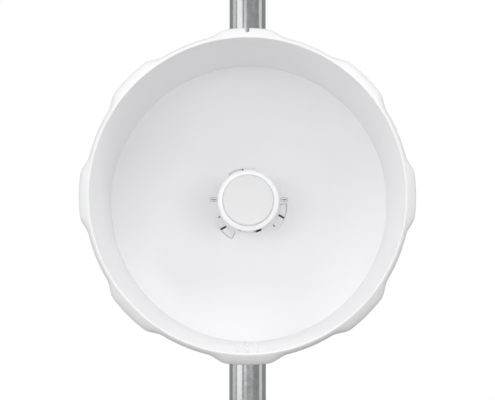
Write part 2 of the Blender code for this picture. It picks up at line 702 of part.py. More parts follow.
def model_clamp_bolt(name, x, z, steel):
    """A carriage bolt from the bracket's back plate to behind the jaw, with its washer and nut."""
    head = BACK_PLATE_Y - GAP
    seat = CLAMP_BACK_Y + GAP
    washer = seat + WASHER_THICKNESS
    profile = [
        (0, head - CLAMP_HEAD_HEIGHT),
        (CLAMP_HEAD_RADIUS * 0.65, head - CLAMP_HEAD_HEIGHT * 0.84),
        (CLAMP_HEAD_RADIUS, head - CLAMP_HEAD_HEIGHT * 0.27),
        (CLAMP_HEAD_RADIUS, head),
        (CLAMP_BOLT_RADIUS, head),
        (CLAMP_BOLT_RADIUS, seat),
        (WASHER_RADIUS, seat),
        (WASHER_RADIUS, washer),
        (CLAMP_BOLT_RADIUS, washer),
        (CLAMP_BOLT_RADIUS, CLAMP_BOLT_END_Y),
        (0, CLAMP_BOLT_END_Y),
    ]
    centre = Vector((x, 0, DISH_HEIGHT + z))
    bolt = turned(name, profile, SMALL_STEPS, steel, "Y", centre)
    foot = washer - WASHER_SINK
    crown = foot + CLAMP_NUT_HEIGHT
    nut = [(0, foot), (CLAMP_NUT_RADIUS, foot), (CLAMP_NUT_RADIUS, crown), (0, crown)]
    combine(bolt, turned(f"join_{name}", nut, 6, axis="Y", centre=centre), "UNION")


def model_mast(galvanised, dark):
    foot_top = FOOT_THICKNESS + GAP
    inner = MAST_RADIUS - MAST_WALL
    tube = [(MAST_RADIUS, foot_top), (MAST_RADIUS, MAST_TOP), (inner, MAST_TOP), (inner, foot_top)]
    turned("mast_pole", tube, MEDIUM_STEPS, galvanised, "Z", Vector((0, 0, 0)))
    rim = MAST_TOP + GAP
    plug = inner - GAP
    cap = [
        (0, rim + CAP_HEIGHT),
        (MAST_RADIUS - 0.002, rim + CAP_HEIGHT - 0.001),
        (MAST_RADIUS + CAP_OVERHANG, rim + CAP_HEIGHT - 0.0035),
        (MAST_RADIUS + CAP_OVERHANG, rim),
        (plug, rim),
        (plug, rim - CAP_PLUG_LENGTH),
        (0, rim - CAP_PLUG_LENGTH),
    ]
    turned("mast_cap", cap, MEDIUM_STEPS, dark, "Z", Vector((0, 0, 0)))
    outline = rounded_outline(FOOT_SIDE / 2, FOOT_SIDE / 2, FOOT_CORNER)
    plate = extruded("base_plate", outline, 0, FOOT_THICKNESS, "Z", galvanised)
    holes = bmesh.new()
    for x in (-ANCHOR_OFFSET, ANCHOR_OFFSET):
        for y in (-ANCHOR_OFFSET, ANCHOR_OFFSET):
            bmesh.ops.create_cone(
                holes,
                cap_ends=True,
                segments=SMALL_STEPS,
                radius1=ANCHOR_RADIUS,
                radius2=ANCHOR_RADIUS,
                depth=3 * FOOT_THICKNESS,
                matrix=Matrix.Translation((x, y, FOOT_THICKNESS / 2)),
            )
    combine(plate, new_object("cut_anchors", holes))
    start = MAST_RADIUS + GAP
    end = MAST_RADIUS + GUSSET_REACH
    half = GUSSET_THICKNESS / 2
    for number in range(4):
        shape = bmesh.new()
        outline = [
            (start, foot_top),
            (end, foot_top),
            (end, foot_top + GUSSET_NOSE),
            (start + GUSSET_NOSE, foot_top + GUSSET_HEIGHT),
            (start, foot_top + GUSSET_HEIGHT),
        ]
        face = shape.faces.new([shape.verts.new((x, -half, z)) for x, z in outline])
        made = bmesh.ops.extrude_face_region(shape, geom=[face])
        moved = [item for item in made["geom"] if isinstance(item, bmesh.types.BMVert)]
        bmesh.ops.translate(shape, verts=moved, vec=(0, GUSSET_THICKNESS, 0))
        bmesh.ops.rotate(shape, verts=shape.verts, matrix=Matrix.Rotation(number * math.pi / 2, 3, "Z"))
        new_object(f"base_gusset_{number + 1}", shape, galvanised)


def main():
    for old in list(bpy.data.objects):
        bpy.data.objects.remove(old, do_unlink=True)
    white = new_material("white moulded plastic", (0.80, 0.80, 0.81), 0.45)
    smooth_white = new_material("white feed plastic", (0.83, 0.83, 0.84), 0.35)
    dark = new_material("black plastic", (0.03, 0.03, 0.03), 0.5)
    smoked = new_material("smoked light window", (0.20, 0.22, 0.24), 0.2)
    galvanised = new_material("galvanised steel", (0.52, 0.54, 0.55), 0.42, 1.0)
    zinc = new_material("bracket steel", (0.60, 0.61, 0.62), 0.38, 1.0)
    cast = new_material("cast aluminium", (0.62, 0.63, 0.64), 0.5, 1.0)
    steel = new_material("stainless fasteners", (0.66, 0.66, 0.66), 0.28, 1.0)
    model_reflector(white)
    model_shroud(white)
    model_shroud_clips(white)
    model_feed(smooth_white)
    model_rear_housing(white, dark, smoked, steel)
    model_tilt_bracket(zinc, steel)
    model_pole_clamp(cast, steel)
    model_mast(galvanised, dark)


main()
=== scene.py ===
# A wireless bridge dish antenna on a short mast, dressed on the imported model.
# Metres, +Z up. The dish looks along -Y, and the mast stands on the origin.
import math

import bmesh
import bpy
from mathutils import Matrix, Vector


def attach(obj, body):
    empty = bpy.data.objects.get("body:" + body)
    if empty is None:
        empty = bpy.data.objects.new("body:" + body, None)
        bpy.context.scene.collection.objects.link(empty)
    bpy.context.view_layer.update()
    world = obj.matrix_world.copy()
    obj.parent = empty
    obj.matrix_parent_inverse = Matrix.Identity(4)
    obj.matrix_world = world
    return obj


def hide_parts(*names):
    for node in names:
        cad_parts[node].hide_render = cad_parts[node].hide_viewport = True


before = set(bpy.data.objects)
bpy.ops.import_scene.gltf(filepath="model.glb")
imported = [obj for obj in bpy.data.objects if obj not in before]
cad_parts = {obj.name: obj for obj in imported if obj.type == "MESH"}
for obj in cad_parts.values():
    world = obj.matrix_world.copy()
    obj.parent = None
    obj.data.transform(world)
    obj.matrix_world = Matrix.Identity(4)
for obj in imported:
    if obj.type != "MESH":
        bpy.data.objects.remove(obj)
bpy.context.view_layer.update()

# Camera
# A long lens stands 1.8 m in front of the lobes on the dish's rim. It is a little below the dish axis and a
# touch to its right, so the mast and the hub sit slightly off the rim's middle.
def outwards(bearing, rise):
    """A direction away from the dish. Its bearing in degrees runs from the front to the right."""
    turn, slope = math.radians(bearing), math.radians(rise)
    return Vector((math.sin(turn) * math.cos(slope), -math.cos(turn) * math.cos(slope), math.sin(slope)))


dish_x = 0.0039
dish_height = 0.550
mouth_y = -0.390
lobe_plane = Vector((dish_x, mouth_y + 0.010, dish_height))
camera_distance = 1.800
camera_bearing = 0.68
camera_rise = -3.47
aim_right = 0.00041
aim_up = -0.00673
towards_camera = outwards(camera_bearing, camera_rise)
rightwards = Vector((math.cos(math.radians(camera_bearing)), math.sin(math.radians(camera_bearing)), 0))
upwards = towards_camera.cross(rightwards)
camera_target = lobe_plane + aim_right * rightwards + aim_up * upwards
camera = bpy.data.objects.new("camera", bpy.data.cameras.new("camera"))
camera.data.lens = 96.6
camera.location = camera_target + camera_distance * towards_camera
camera.rotation_euler = towards_camera.to_track_quat("Z", "Y").to_euler()
bpy.context.scene.collection.objects.link(camera)
bpy.context.scene.camera = camera
bpy.context.scene.view_settings.view_transform = "Standard"


# Studio
# A white studio: the far wall behind the dish is bright, the rest of the room is a dimmer white, and soft
# lights stand round the front. Four of them reach down to the floor, and the mast mirrors those as upright
# bands. The others hang high, or in front of the dish, where the mast doesn't show. The floor is pale painted
# board.
def linear(hex_colour):
    """An sRGB colour such as "#EDEDEE" as the linear colour that the shaders take."""
    shares = [int(hex_colour[place : place + 2], 16) / 255 for place in (1, 3, 5)]
    return (*[s / 12.92 if s <= 0.04045 else ((s + 0.055) / 1.055) ** 2.4 for s in shares], 1)


def add(tree, kind, settings, links=None):
    """Adds a node with its settings, and joins its sockets to the ones that feed them."""
    made = tree.nodes.new(kind)
    for name, value in settings.items():
        if isinstance(name, str) and hasattr(made, name):
            setattr(made, name, value)
        else:
            made.inputs[name].default_value = value
    for name, source in (links or {}).items():
        tree.links.new(source, made.inputs[name])
    return made


room = bpy.data.worlds.new("studio room")
bpy.context.scene.world = room
room.use_nodes = True
tree = room.node_tree
direction = add(tree, "ShaderNodeTexCoord", {})
axes = add(tree, "ShaderNodeSeparateXYZ", {}, {0: direction.outputs["Generated"]})
# The far wall's light fades between 17 and 26 degrees from straight behind the dish.
wall_fade = {"interpolation_type": "SMOOTHSTEP", "From Min": 0.90, "From Max": 0.955}
behind = add(tree, "ShaderNodeMapRange", wall_fade, {0: axes.outputs["Y"]})
room_light = 0.42
wall_light = 1.02
levels = {"data_type": "FLOAT", 2: room_light, 3: wall_light}
strength = add(tree, "ShaderNodeMix", levels, {0: behind.outputs[0]})
background = tree.nodes["Background"]
tree.links.new(strength.outputs[0], background.inputs["Strength"])
background.inputs["Color"].default_value = linear("#FFFFFF")


def softbox(name, bearing, rise, distance, width, height, power):
    """A softbox aimed at the dish's mouth."""
    lamp = bpy.data.objects.new(name, bpy.data.lights.new(name, "AREA"))
    lamp.data.shape = "RECTANGLE"
    lamp.data.size = width
    lamp.data.size_y = height
    lamp.data.energy = power
    place = outwards(bearing, rise)
    lamp.location = Vector((dish_x, mouth_y, dish_height)) + distance * place
    lamp.rotation_euler = place.to_track_quat("Z", "Y").to_euler()
    bpy.context.scene.collection.objects.link(lamp)


softbox("key softbox", -57, 5, 2.6, 1.9, 1.7, 13)
softbox("high left softbox", -50, 45, 2.6, 1.2, 1.2, 14)
softbox("front scrim", -16, 5, 3.0, 1.0, 1.7, 3.5)
softbox("low front softbox", -10, 4, 2.8, 1.8, 0.78, 16)
softbox("high front softbox", -16, 42, 2.8, 1.3, 1.0, 5)
softbox("low right front softbox", 25, 3, 2.8, 1.4, 0.78, 11)
softbox("high right front softbox", 27, 42, 2.8, 1.3, 1.0, 4)
softbox("high right softbox", 56, 42, 2.6, 1.2, 1.2, 20)
softbox("right strip light", 98, 5, 2.4, 1.0, 1.8, 4)
softbox("left strip light", -100, 5, 2.4, 1.2, 1.8, 4)


def new_finish(name, settings):
    """A new material with its shader's plain settings, and its node tree and its place on the object."""
    finish = bpy.data.materials.new(name)
    finish.use_nodes = True
    for socket, value in settings.items():
        finish.node_tree.nodes["Principled BSDF"].inputs[socket].default_value = value
    place = add(finish.node_tree, "ShaderNodeTexCoord", {})
    return finish, finish.node_tree, place.outputs["Object"]


bpy.ops.object.select_all(action="DESELECT")
bpy.ops.mesh.primitive_circle_add(vertices=128, radius=2.1, fill_type="NGON", location=(0, 0, 0))
floor = bpy.context.object
floor.name = "studio_floor"
board, tree, place = new_finish("pale painted board", {"Roughness": 0.6})
# Brush marks in the paint, about 60 mm apart.
marks = add(tree, "ShaderNodeTexNoise", {"Scale": 1 / 0.060, "Detail": 3.0}, {"Vector": place})
paints = {"data_type": "RGBA", 6: linear("#B4B4B3"), 7: linear("#BCBCBB")}
paint = add(tree, "ShaderNodeMix", paints, {0: marks.outputs[0]})
tree.links.new(paint.outputs[2], tree.nodes["Principled BSDF"].inputs["Base Color"])
floor.data.materials.append(board)


# Foot plate
# A square of 10 mm steel plate with round corners and four holes for M12 anchors. It is welded to the mast,
# and both are dipped in zinc: a dull grey coat with crystals a few millimetres across and faint runs.
def take_up(*pieces):
    """Selects these pieces and nothing else, and makes the first one active."""
    bpy.ops.object.select_all(action="DESELECT")
    for piece in pieces:
        piece.select_set(True)
    bpy.context.view_layer.objects.active = pieces[0]


def open_up(piece):
    """Opens a piece in edit mode with everything selected."""
    take_up(piece)
    bpy.ops.object.mode_set(mode="EDIT")
    bpy.ops.mesh.select_mode(type="VERT")
    bpy.ops.mesh.select_all(action="SELECT")


def pick(piece, test, kind="FACE"):
    """Selects only the faces, edges or points of a piece in edit mode that pass a test."""
    bpy.ops.mesh.select_mode(type=kind)
    bpy.ops.mesh.select_all(action="DESELECT")
    shape = bmesh.from_edit_mesh(piece.data)
    for part in {"FACE": shape.faces, "EDGE": shape.edges, "VERT": shape.verts}[kind]:
        if test(part):
            part.select_set(True)
    shape.select_flush_mode()
    bmesh.update_edit_mesh(piece.data)


def draw_line(name, points, closed=False):
    """Draws a line by extruding a point from place to place, and can join its ends. It stays in edit mode."""
    bpy.ops.object.select_all(action="DESELECT")
    bpy.ops.mesh.primitive_plane_add(size=0.01, location=(0, 0, 0))
    line = bpy.context.object
    line.name = line.data.name = name
    bpy.ops.object.mode_set(mode="EDIT")
    bpy.ops.mesh.select_mode(type="VERT")
    bpy.ops.mesh.merge(type="CENTER")
    bpy.ops.transform.translate(value=points[0])
    for here, there in zip(points, points[1:]):
        bpy.ops.mesh.extrude_region_move(TRANSFORM_OT_translate={"value": Vector(there) - Vector(here)})
    if closed:
        ends = (Vector(points[0]), Vector(points[-1]))
        pick(line, lambda point: min((point.co - end).length for end in ends) < 1e-5, "VERT")
        bpy.ops.mesh.edge_face_add()
    bpy.ops.mesh.select_all(action="SELECT")
    return line


def close_up():
    """Welds the seams of the shape in edit mode, turns its faces outwards and goes back to object mode."""
    bpy.ops.mesh.select_all(action="SELECT")
    bpy.ops.mesh.remove_doubles(threshold=1e-5)
    bpy.ops.mesh.normals_make_consistent(inside=False)
    bpy.ops.object.mode_set(mode="OBJECT")


def plate(name, outline, low, high, axis):
    """A flat closed outline pulled out to a thickness along an axis. Its points are the other two axes."""
    place = "XYZ".index(axis)
    piece = draw_line(name, [(*spot[:place], low, *spot[place:]) for spot in outline], closed=True)
    bpy.ops.mesh.edge_face_add()
    pull = [0, 0, 0]
    pull[place] = high - low
    bpy.ops.mesh.extrude_region_move(TRANSFORM_OT_translate={"value": pull})
    close_up()
    return piece


def arc(centre, size, start, end, steps=6):
    """Points on an arc from one angle to another, in degrees from the outline's first axis to its second."""
    turns = [math.radians(start + (end - start) * step / steps) for step in range(steps + 1)]
    return [(centre[0] + size * math.cos(turn), centre[1] + size * math.sin(turn)) for turn in turns]


def circle(centre, size, steps=48):
    """The outline of a round hole or pin."""
    return arc(centre, size, 0, 360 - 360 / steps, steps - 1)


def rounded(half_width, half_height, size, centre=(0, 0), steps=8):
    """The outline of a rectangle with round corners."""
    wide, tall = half_width - size, half_height - size
    outline = []
    for start, across, up in ((0, wide, tall), (90, -wide, tall), (180, -wide, -tall), (270, wide, -tall)):
        outline += arc((centre[0] + across, centre[1] + up), size, start, start + 90, steps)
    return outline


def drop_cutter(piece, cutter, operation="DIFFERENCE"):
    """Cuts a shape out of a piece, joins it on, or keeps only what they share, and throws the cutter away."""
    saw = piece.modifiers.new("saw", "BOOLEAN")
    saw.operation = operation
    saw.solver = "EXACT"
    saw.object = cutter
    bpy.context.view_layer.objects.active = piece
    bpy.ops.object.modifier_apply(modifier=saw.name)
    bpy.data.objects.remove(cutter)


def soften(piece, width, segments=2, angle=40):
    """Rounds the sharp edges of a piece."""
    rounding = piece.modifiers.new("rounding", "BEVEL")
    rounding.width = width
    rounding.segments = segments
    rounding.limit_method = "ANGLE"
    rounding.angle_limit = math.radians(angle)
    bpy.context.view_layer.objects.active = piece
    bpy.ops.object.modifier_apply(modifier=rounding.name)


def finish_piece(piece, finish, replaced=(), smooth=21):
    """Gives a finished piece its material, smooths its round faces and puts it on the model."""
    piece.data.materials.clear()
    piece.data.materials.append(finish)
    take_up(piece)
    bpy.ops.object.shade_smooth_by_angle(angle=math.radians(smooth))
    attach(piece, "root")
    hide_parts(*replaced)


def wear_in(tree, tones, tone, shine, gloss, relief, height):
    """Joins patterns to a material's shader: the tone picks a colour between two, the gloss moves the
    roughness within its range, and the height stands out as relief."""
    shader = tree.nodes["Principled BSDF"]
    colours = {"data_type": "RGBA", 6: linear(tones[0]), 7: linear(tones[1])}
    tint = add(tree, "ShaderNodeMix", colours, {0: tone})
    polish = add(tree, "ShaderNodeMapRange", shine, {0: gloss})
    skin = add(tree, "ShaderNodeBump", {"Distance": relief}, {"Height": height})
    tree.links.new(tint.outputs[2], shader.inputs["Base Color"])
    tree.links.new(polish.outputs[0], shader.inputs["Roughness"])
    tree.links.new(skin.outputs[0], shader.inputs["Normal"])


def zinc_coat(name, dark, light, shine):
    """Steel dipped in zinc: crystals that each have their own grey and shine, and faint upright runs."""
    coat, tree, place = new_finish(name, {"Metallic": 1.0})
    # Zinc crystals are about 7 mm across.
    crystals = add(tree, "ShaderNodeTexVoronoi", {"Scale": 1 / 0.007}, {"Vector": place})
    crystal = add(tree, "ShaderNodeSeparateColor", {}, {0: crystals.outputs["Color"]})
    # Runs are 2 mm apart and 120 mm long.
    along = add(tree, "ShaderNodeMapping", {"Scale": (500, 500, 8)}, {"Vector": place})
    runs = add(tree, "ShaderNodeTexNoise", {"Scale": 1.0, "Detail": 2.0}, {"Vector": along.outputs[0]})
    halves = {2: crystal.outputs[0], 3: runs.outputs[0]}
    mottle = add(tree, "ShaderNodeMix", {"data_type": "FLOAT", 0: 0.55}, halves).outputs[0]
    gloss = {"To Min": 0.75 * shine, "To Max": 1.25 * shine}
    wear_in(tree, (dark, light), mottle, gloss, mottle, 0.00002, mottle)
    return coat


# Hot-dip galvanised steel, weathered: pale grey, and so dull that it only gives soft highlights.
galvanised = zinc_coat("hot-dip galvanised steel", "#A9ABAD", "#C9CBCD", 0.42)
foot_half = 0.120
foot_thickness = 0.010
anchor_offset = 0.092
foot_plate = plate("foot_plate", rounded(foot_half, foot_half, 0.018), 0, foot_thickness, "Z")
for x in (-anchor_offset, anchor_offset):
    for y in (-anchor_offset, anchor_offset):
        drop_cutter(foot_plate, plate("anchor_hole", circle((x, y), 0.007), -0.005, 0.015, "Z"))
soften(foot_plate, 0.0012)
finish_piece(foot_plate, galvanised, ["base_plate"])


# Gussets and welds
# Four triangles of 6 mm plate stand on the foot plate against the mast. Their inner corners are snipped to
# clear the weld round the mast, and hand-laid beads of small overlapping drops hold every joint.
def copied(piece, name, shift=(0, 0, 0), turn=0, axis="Z", pivot=(0, 0, 0)):
    """A copy of a piece with a mesh of its own, turned round a pivot by so many degrees and then shifted."""
    take_up(piece)
    bpy.ops.object.duplicate()
    twin = bpy.context.object
    twin.name = twin.data.name = name
    open_up(twin)
    bpy.ops.transform.rotate(value=math.radians(turn), orient_axis=axis, center_override=pivot)
    bpy.ops.transform.translate(value=shift)
    bpy.ops.object.mode_set(mode="OBJECT")
    return twin


def fan_out(turns, axis):
    """Doubles the shape in edit mode for each turn, with the copy turned round an axis by so many degrees."""
    for turn in turns:
        bpy.ops.mesh.select_all(action="SELECT")
        bpy.ops.mesh.duplicate()
        bpy.ops.transform.rotate(value=math.radians(turn), orient_axis=axis, center_override=(0, 0, 0))
    bpy.ops.mesh.select_all(action="SELECT")


mast_radius = 0.03015
foot_top = foot_thickness + 0.0003
gusset_start = mast_radius + 0.0003
gusset_end = mast_radius + 0.068
gusset_top = foot_top + 0.080
gusset_snip = 0.008
gusset_toe = 0.012
gusset_outline = [
    (gusset_start + gusset_snip, foot_top),
    (gusset_end, foot_top),
    (gusset_end, foot_top + gusset_toe),
    (gusset_start + gusset_toe, gusset_top),
    (gusset_start, gusset_top),
    (gusset_start, foot_top + gusset_snip),
]
gussets = [plate("foot_gusset_1", gusset_outline, -0.003, 0.003, "Y")]
soften(gussets[0], 0.0008)
for number in (2, 3, 4):
    gussets.append(copied(gussets[0], f"foot_gusset_{number}", turn=-90 * (number - 1)))
for number, gusset in enumerate(gussets, 1):
    finish_piece(gusset, galvanised, [f"base_gusset_{number}"])

drop_size = 0.0028
drop_step = 0.0026
drop_height = foot_top + 0.0006
beside_plate = 0.0040
drops = [(gusset_start + gusset_snip + drop_step * step, beside_plate, drop_height) for step in range(24)]
foot_drop = foot_top + gusset_snip
drops += [(mast_radius + 0.0004, beside_plate, foot_drop + drop_step * step) for step in range(28)]
drops += [(*spot, drop_height) for spot in arc((0, 0), mast_radius + 0.0006, 4, 43.2, 8)]
bpy.ops.object.select_all(action="DESELECT")
bpy.ops.mesh.primitive_uv_sphere_add(segments=8, ring_count=6, radius=drop_size, location=(0, 0, 0))
welds = bpy.context.object
welds.name = welds.data.name = "foot_welds"
open_up(welds)
bpy.ops.transform.translate(value=drops[0])
for spot in drops[1:]:
    bpy.ops.mesh.primitive_uv_sphere_add(segments=8, ring_count=6, radius=drop_size, location=spot)
bpy.ops.mesh.select_all(action="SELECT")
bpy.ops.mesh.duplicate()
bpy.ops.transform.resize(value=(1, -1, 1), center_override=(0, 0, 0))
fan_out((90, 180), "Z")
bpy.ops.mesh.normals_make_consistent(inside=False)
bpy.ops.object.mode_set(mode="OBJECT")
finish_piece(welds, galvanised, smooth=60)


# Mast
# A length of two-inch galvanised steel pipe, 60.3 mm outside with a 2.9 mm wall. It is sawn square and
# welded on the foot plate.
def turned(name, profile, steps, axis="Y", centre=(dish_x, 0, dish_height)):
    """A piece turned round an axis, from points that say how far from the axis and where along it they lie. A
    profile that starts on the axis is a solid's outline, and any other one is closed to a ring."""
    line_up = {"X": lambda r, a: (a, 0, r), "Y": lambda r, a: (r, a, 0), "Z": lambda r, a: (r, 0, a)}[axis]
    points = [Vector(line_up(radius, along)) + Vector(centre) for radius, along in profile]
    piece = draw_line(name, points, closed=profile[0][0] > 0)
    spindle = {"X": (1, 0, 0), "Y": (0, 1, 0), "Z": (0, 0, 1)}[axis]
    bpy.ops.mesh.spin(steps=steps, angle=math.tau, center=centre, axis=spindle)
    close_up()
    return piece


def band(inner, outer, low, high):
    """The section of a plain ring or pin, for turning or sweeping."""
    return [(inner, low), (outer, low), (outer, high), (inner, high)]


def laid_out(shape, start, way=1):
    """A profile in metres, from millimetres of radius and of distance from a start along the axis."""
    return [(radius / 1000, start + way * along / 1000) for radius, along in shape]


mast_bore = mast_radius - 0.0029
mast_top = 0.920
mast = turned("mast_tube", band(mast_bore, mast_radius, foot_top, mast_top), 160, "Z", (0, 0, 0))
soften(mast, 0.0004)
# Pipe is wiped as it leaves the zinc, so it is brighter: it mirrors the studio in blurred upright bands.
wiped_zinc = zinc_coat("wiped galvanised pipe", "#B6B7B8", "#C2C3C4", 0.16)
finish_piece(mast, wiped_zinc, ["mast_pole"])


# Mast cap
# A black polyethylene cap with a gently domed top. Its plug is pressed into the pipe and keeps rain out.
def moulded_plastic(name, colour, shade, shine, grain, relief):
    """Moulded plastic: an even colour with slight flow marks, and the fine grain of the mould's face."""
    plastic, tree, place = new_finish(name, {"IOR": 1.49})
    # Flow marks about 80 mm across, and grain as fine as the mould's.
    flow = add(tree, "ShaderNodeTexNoise", {"Scale": 1 / 0.080, "Detail": 2.0}, {0: place})
    grains = add(tree, "ShaderNodeTexNoise", {"Scale": 1 / grain, "Detail": 2.0}, {0: place}).outputs[0]
    gloss = {"From Min": 0.3, "From Max": 0.7, "To Min": shine - 0.04, "To Max": shine + 0.04}
    wear_in(tree, (shade, colour), flow.outputs[0], gloss, grains, relief, grains)
    return plastic


# Black polyethylene with a fine spark-eroded grain: it looks dark grey and slightly dusty.
black_plastic = moulded_plastic("fine textured black plastic", "#232324", "#1C1C1D", 0.48, 0.0009, 0.00004)
rim = mast_top + 0.0003
plug = mast_bore - 0.0003
cap_radius = mast_radius + 0.0012
cap_profile = [(0, rim + 0.0060), (0.010, rim + 0.0059), (0.020, rim + 0.0057)]
cap_profile += arc((cap_radius - 0.0034, rim + 0.0021), 0.0034, 84, 0, 8)
cap_profile += [(cap_radius, rim + 0.0004), (cap_radius - 0.0004, rim), (plug, rim)]
cap_profile += [(plug, rim - 0.0190), (plug - 0.001, rim - 0.020), (0, rim - 0.020)]
cap = turned("mast_end_cap", cap_profile, 120, "Z", (0, 0, 0))
finish_piece(cap, black_plastic, ["mast_cap"])


# Pole block and jaws
# Die-cast aluminium, shot blasted: a block in front of the mast and two jaws behind it, each with a wide V
# whose faces have small ridges that bite into the mast.
def metal_finish(name, dark, light, shine, grain, stretch, relief):
    """Bare or plated metal: a grey that varies with the grain, which can be drawn out along an axis."""
    metal, tree, place = new_finish(name, {"Metallic": 1.0})
    scale = [1 / (grain * share) for share in stretch]
    laid = add(tree, "ShaderNodeMapping", {"Scale": scale}, {"Vector": place})
    grains = add(tree, "ShaderNodeTexNoise", {"Scale": 1.0, "Detail": 2.5}, {"Vector": laid.outputs[0]})
    # Handling and oxide dull it in patches about 30 mm across.
    patches = add(tree, "ShaderNodeTexNoise", {"Scale": 1 / 0.030, "Detail": 1.0}, {"Vector": place})
    halves = {2: grains.outputs[0], 3: patches.outputs[0]}
    blend = add(tree, "ShaderNodeMix", {"data_type": "FLOAT", 0: 0.35}, halves).outputs[0]
    gloss = {"From Min": 0.3, "From Max": 0.7, "To Min": shine + 0.06, "To Max": shine - 0.06}
    wear_in(tree, (dark, light), blend, gloss, blend, relief, grains.outputs[0])
    return metal


# Shot-blasted casting: pale grey, matt, with a grain of about 1 mm.
cast_aluminium = metal_finish(
    "shot-blasted cast aluminium", "#A6A8AA", "#C2C4C5", 0.48, 0.0011, (1, 1, 1), 0.00008
)
clamp_half_width = 0.050
clamp_open = 0.020
clamp_back = 0.0414
clamp_draft = 0.004
groove_apex = 0.03516
groove_mouth = 0.0263
clamp_bolt_x = 0.041
jaw_offset = 0.030
ridge_step = 0.0042
for name, side, middle, half_height, node in (
    ("pole_block_casting", -1, dish_height, 0.046, "pole_block"),
    ("upper_jaw_casting", 1, dish_height + jaw_offset, 0.013, "clamp_jaw_upper"),
    ("lower_jaw_casting", 1, dish_height - jaw_offset, 0.013, "clamp_jaw_lower"),
):
    front, back = side * clamp_open, side * clamp_back
    section = [
        (clamp_half_width, front),
        (groove_mouth, front),
        (0, side * groove_apex),
        (-groove_mouth, front),
        (-clamp_half_width, front),
        (-clamp_half_width + clamp_draft, back),
        (clamp_half_width - clamp_draft, back),
    ]
    casting = plate(name, section, middle - half_height, middle + half_height, "Z")
    soften(casting, 0.0013, 3)
    # Grooves between the ridges, 1.1 mm deep and 2 mm wide.
    groove_end = groove_mouth + 0.0022
    groove = [
        (groove_end, side * (clamp_open - 0.002)),
        (groove_end, side * (clamp_open + 0.0001)),
        (0, side * (groove_apex + 0.0013)),
        (-groove_end, side * (clamp_open + 0.0001)),
        (-groove_end, side * (clamp_open - 0.002)),
    ]
    count = int((half_height - 0.003) / ridge_step)
    lowest = middle - ridge_step * count
    grooves = plate("grooves", groove, lowest - 0.001, lowest + 0.001, "Z")
    open_up(grooves)
    for step in range(2 * count):
        bpy.ops.mesh.duplicate()
        bpy.ops.transform.translate(value=(0, 0, ridge_step))
    bpy.ops.object.mode_set(mode="OBJECT")
    drop_cutter(casting, grooves)
    for x in (-clamp_bolt_x, clamp_bolt_x):
        for z in (middle,) if side == 1 else (middle - jaw_offset, middle + jaw_offset):
            low, high = sorted((side * 0.015, side * 0.045))
            drop_cutter(casting, plate("bolt_hole", circle((x, z), 0.0045, 32), low, high, "Y"))
    if side == 1:
        pocket = rounded(0.026, 0.0072, 0.004, (0, middle))
        drop_cutter(casting, plate("pocket", pocket, clamp_back - 0.0016, clamp_back + 0.002, "Y"))
    finish_piece(casting, cast_aluminium, [node])


# Clamp bolts
# Four M8 carriage bolts of stainless steel run from the tilt bracket through the block and the jaws. Each has
# a domed head, a rolled thread, a washer and a nut behind the jaw.
def joined(name, pieces):
    """Several shapes as one piece."""
    take_up(*pieces)
    bpy.ops.object.join()
    pieces[0].name = pieces[0].data.name = name
    return pieces[0]


def thread(name, radius, pitch, start, turns):
    """A V-shaped ridge wound round the Y axis, with its ends closed."""
    root = radius - 0.54 * pitch
    section = [(root, start, 0), (radius, start + 0.5 * pitch, 0), (root, start + 0.96 * pitch, 0)]
    ridge = draw_line(name, section, closed=True)
    bpy.ops.object.mode_set(mode="OBJECT")
    winding = ridge.modifiers.new("winding", "SCREW")
    winding.axis = "Y"
    winding.screw_offset = pitch
    winding.iterations = turns
    winding.steps = winding.render_steps = 18
    bpy.context.view_layer.objects.active = ridge
    bpy.ops.object.modifier_apply(modifier=winding.name)
    open_up(ridge)
    bpy.ops.mesh.fill_holes(sides=3)
    bpy.ops.mesh.normals_make_consistent(inside=False)
    bpy.ops.object.mode_set(mode="OBJECT")
    return ridge


def hexagon(name, across, low, high, axis, centre=(0, 0, 0), both=False):
    """A hexagon of a width across its flats. Its high end's corners are turned off, or those of both ends."""
    reach = across / math.sqrt(3)
    flat = {"X": (centre[1], centre[2]), "Y": (centre[0], centre[2]), "Z": (centre[0], centre[1])}[axis]
    bar = plate(name, arc(flat, reach, 0, 300, 5), min(low, high) - 0.001, max(low, high) + 0.001, axis)
    outwards = 1 if high > low else -1
    brim, wide = across * 0.49, reach + 0.0005
    fall = outwards * (wide - brim) * 0.55
    profile = [(0, low), (brim, low), (wide, low + fall)] if both else [(0, low), (wide, low)]
    profile += [(wide, high - fall), (brim, high), (0, high)]
    drop_cutter(bar, turned("barrel", profile, 48, axis, centre), "INTERSECT")
    return bar


# Bright stainless steel: pale, smooth, with fine marks from rolling and turning.
stainless = metal_finish("bright stainless steel", "#B4B4B3", "#CFCFCE", 0.26, 0.0007, (1, 4, 4), 0.00001)
bolt_head = -0.0453
bolt_end = 0.058
jaw_seat = clamp_back + 0.0003
washer_back = jaw_seat + 0.0016
thread_start = -0.0294
head_dome = ((0, 4.5), (3.0, 4.32), (5.5, 3.8), (7.6, 2.8), (8.8, 1.6), (9.2, 0.6))
shank = laid_out(head_dome, bolt_head, -1)
shank += [(0.0090, bolt_head), (0.0040, bolt_head), (0.0040, thread_start - 0.0006), (0.0034, thread_start)]
shank += [(0.0034, bolt_end - 0.0008), (0.0027, bolt_end), (0, bolt_end)]
washer = turned("washer", band(0.0043, 0.0085, jaw_seat, washer_back), 48, centre=(0, 0, 0))
soften(washer, 0.0003)
first_bolt = joined(
    "carriage_bolt",
    [
        turned("shank", shank, 40, centre=(0, 0, 0)),
        thread("rolled_thread", 0.0040, 0.00125, thread_start, 69),
        washer,
        hexagon("nut", 0.0130, washer_back, washer_back + 0.0065, "Y", both=True),
    ],
)
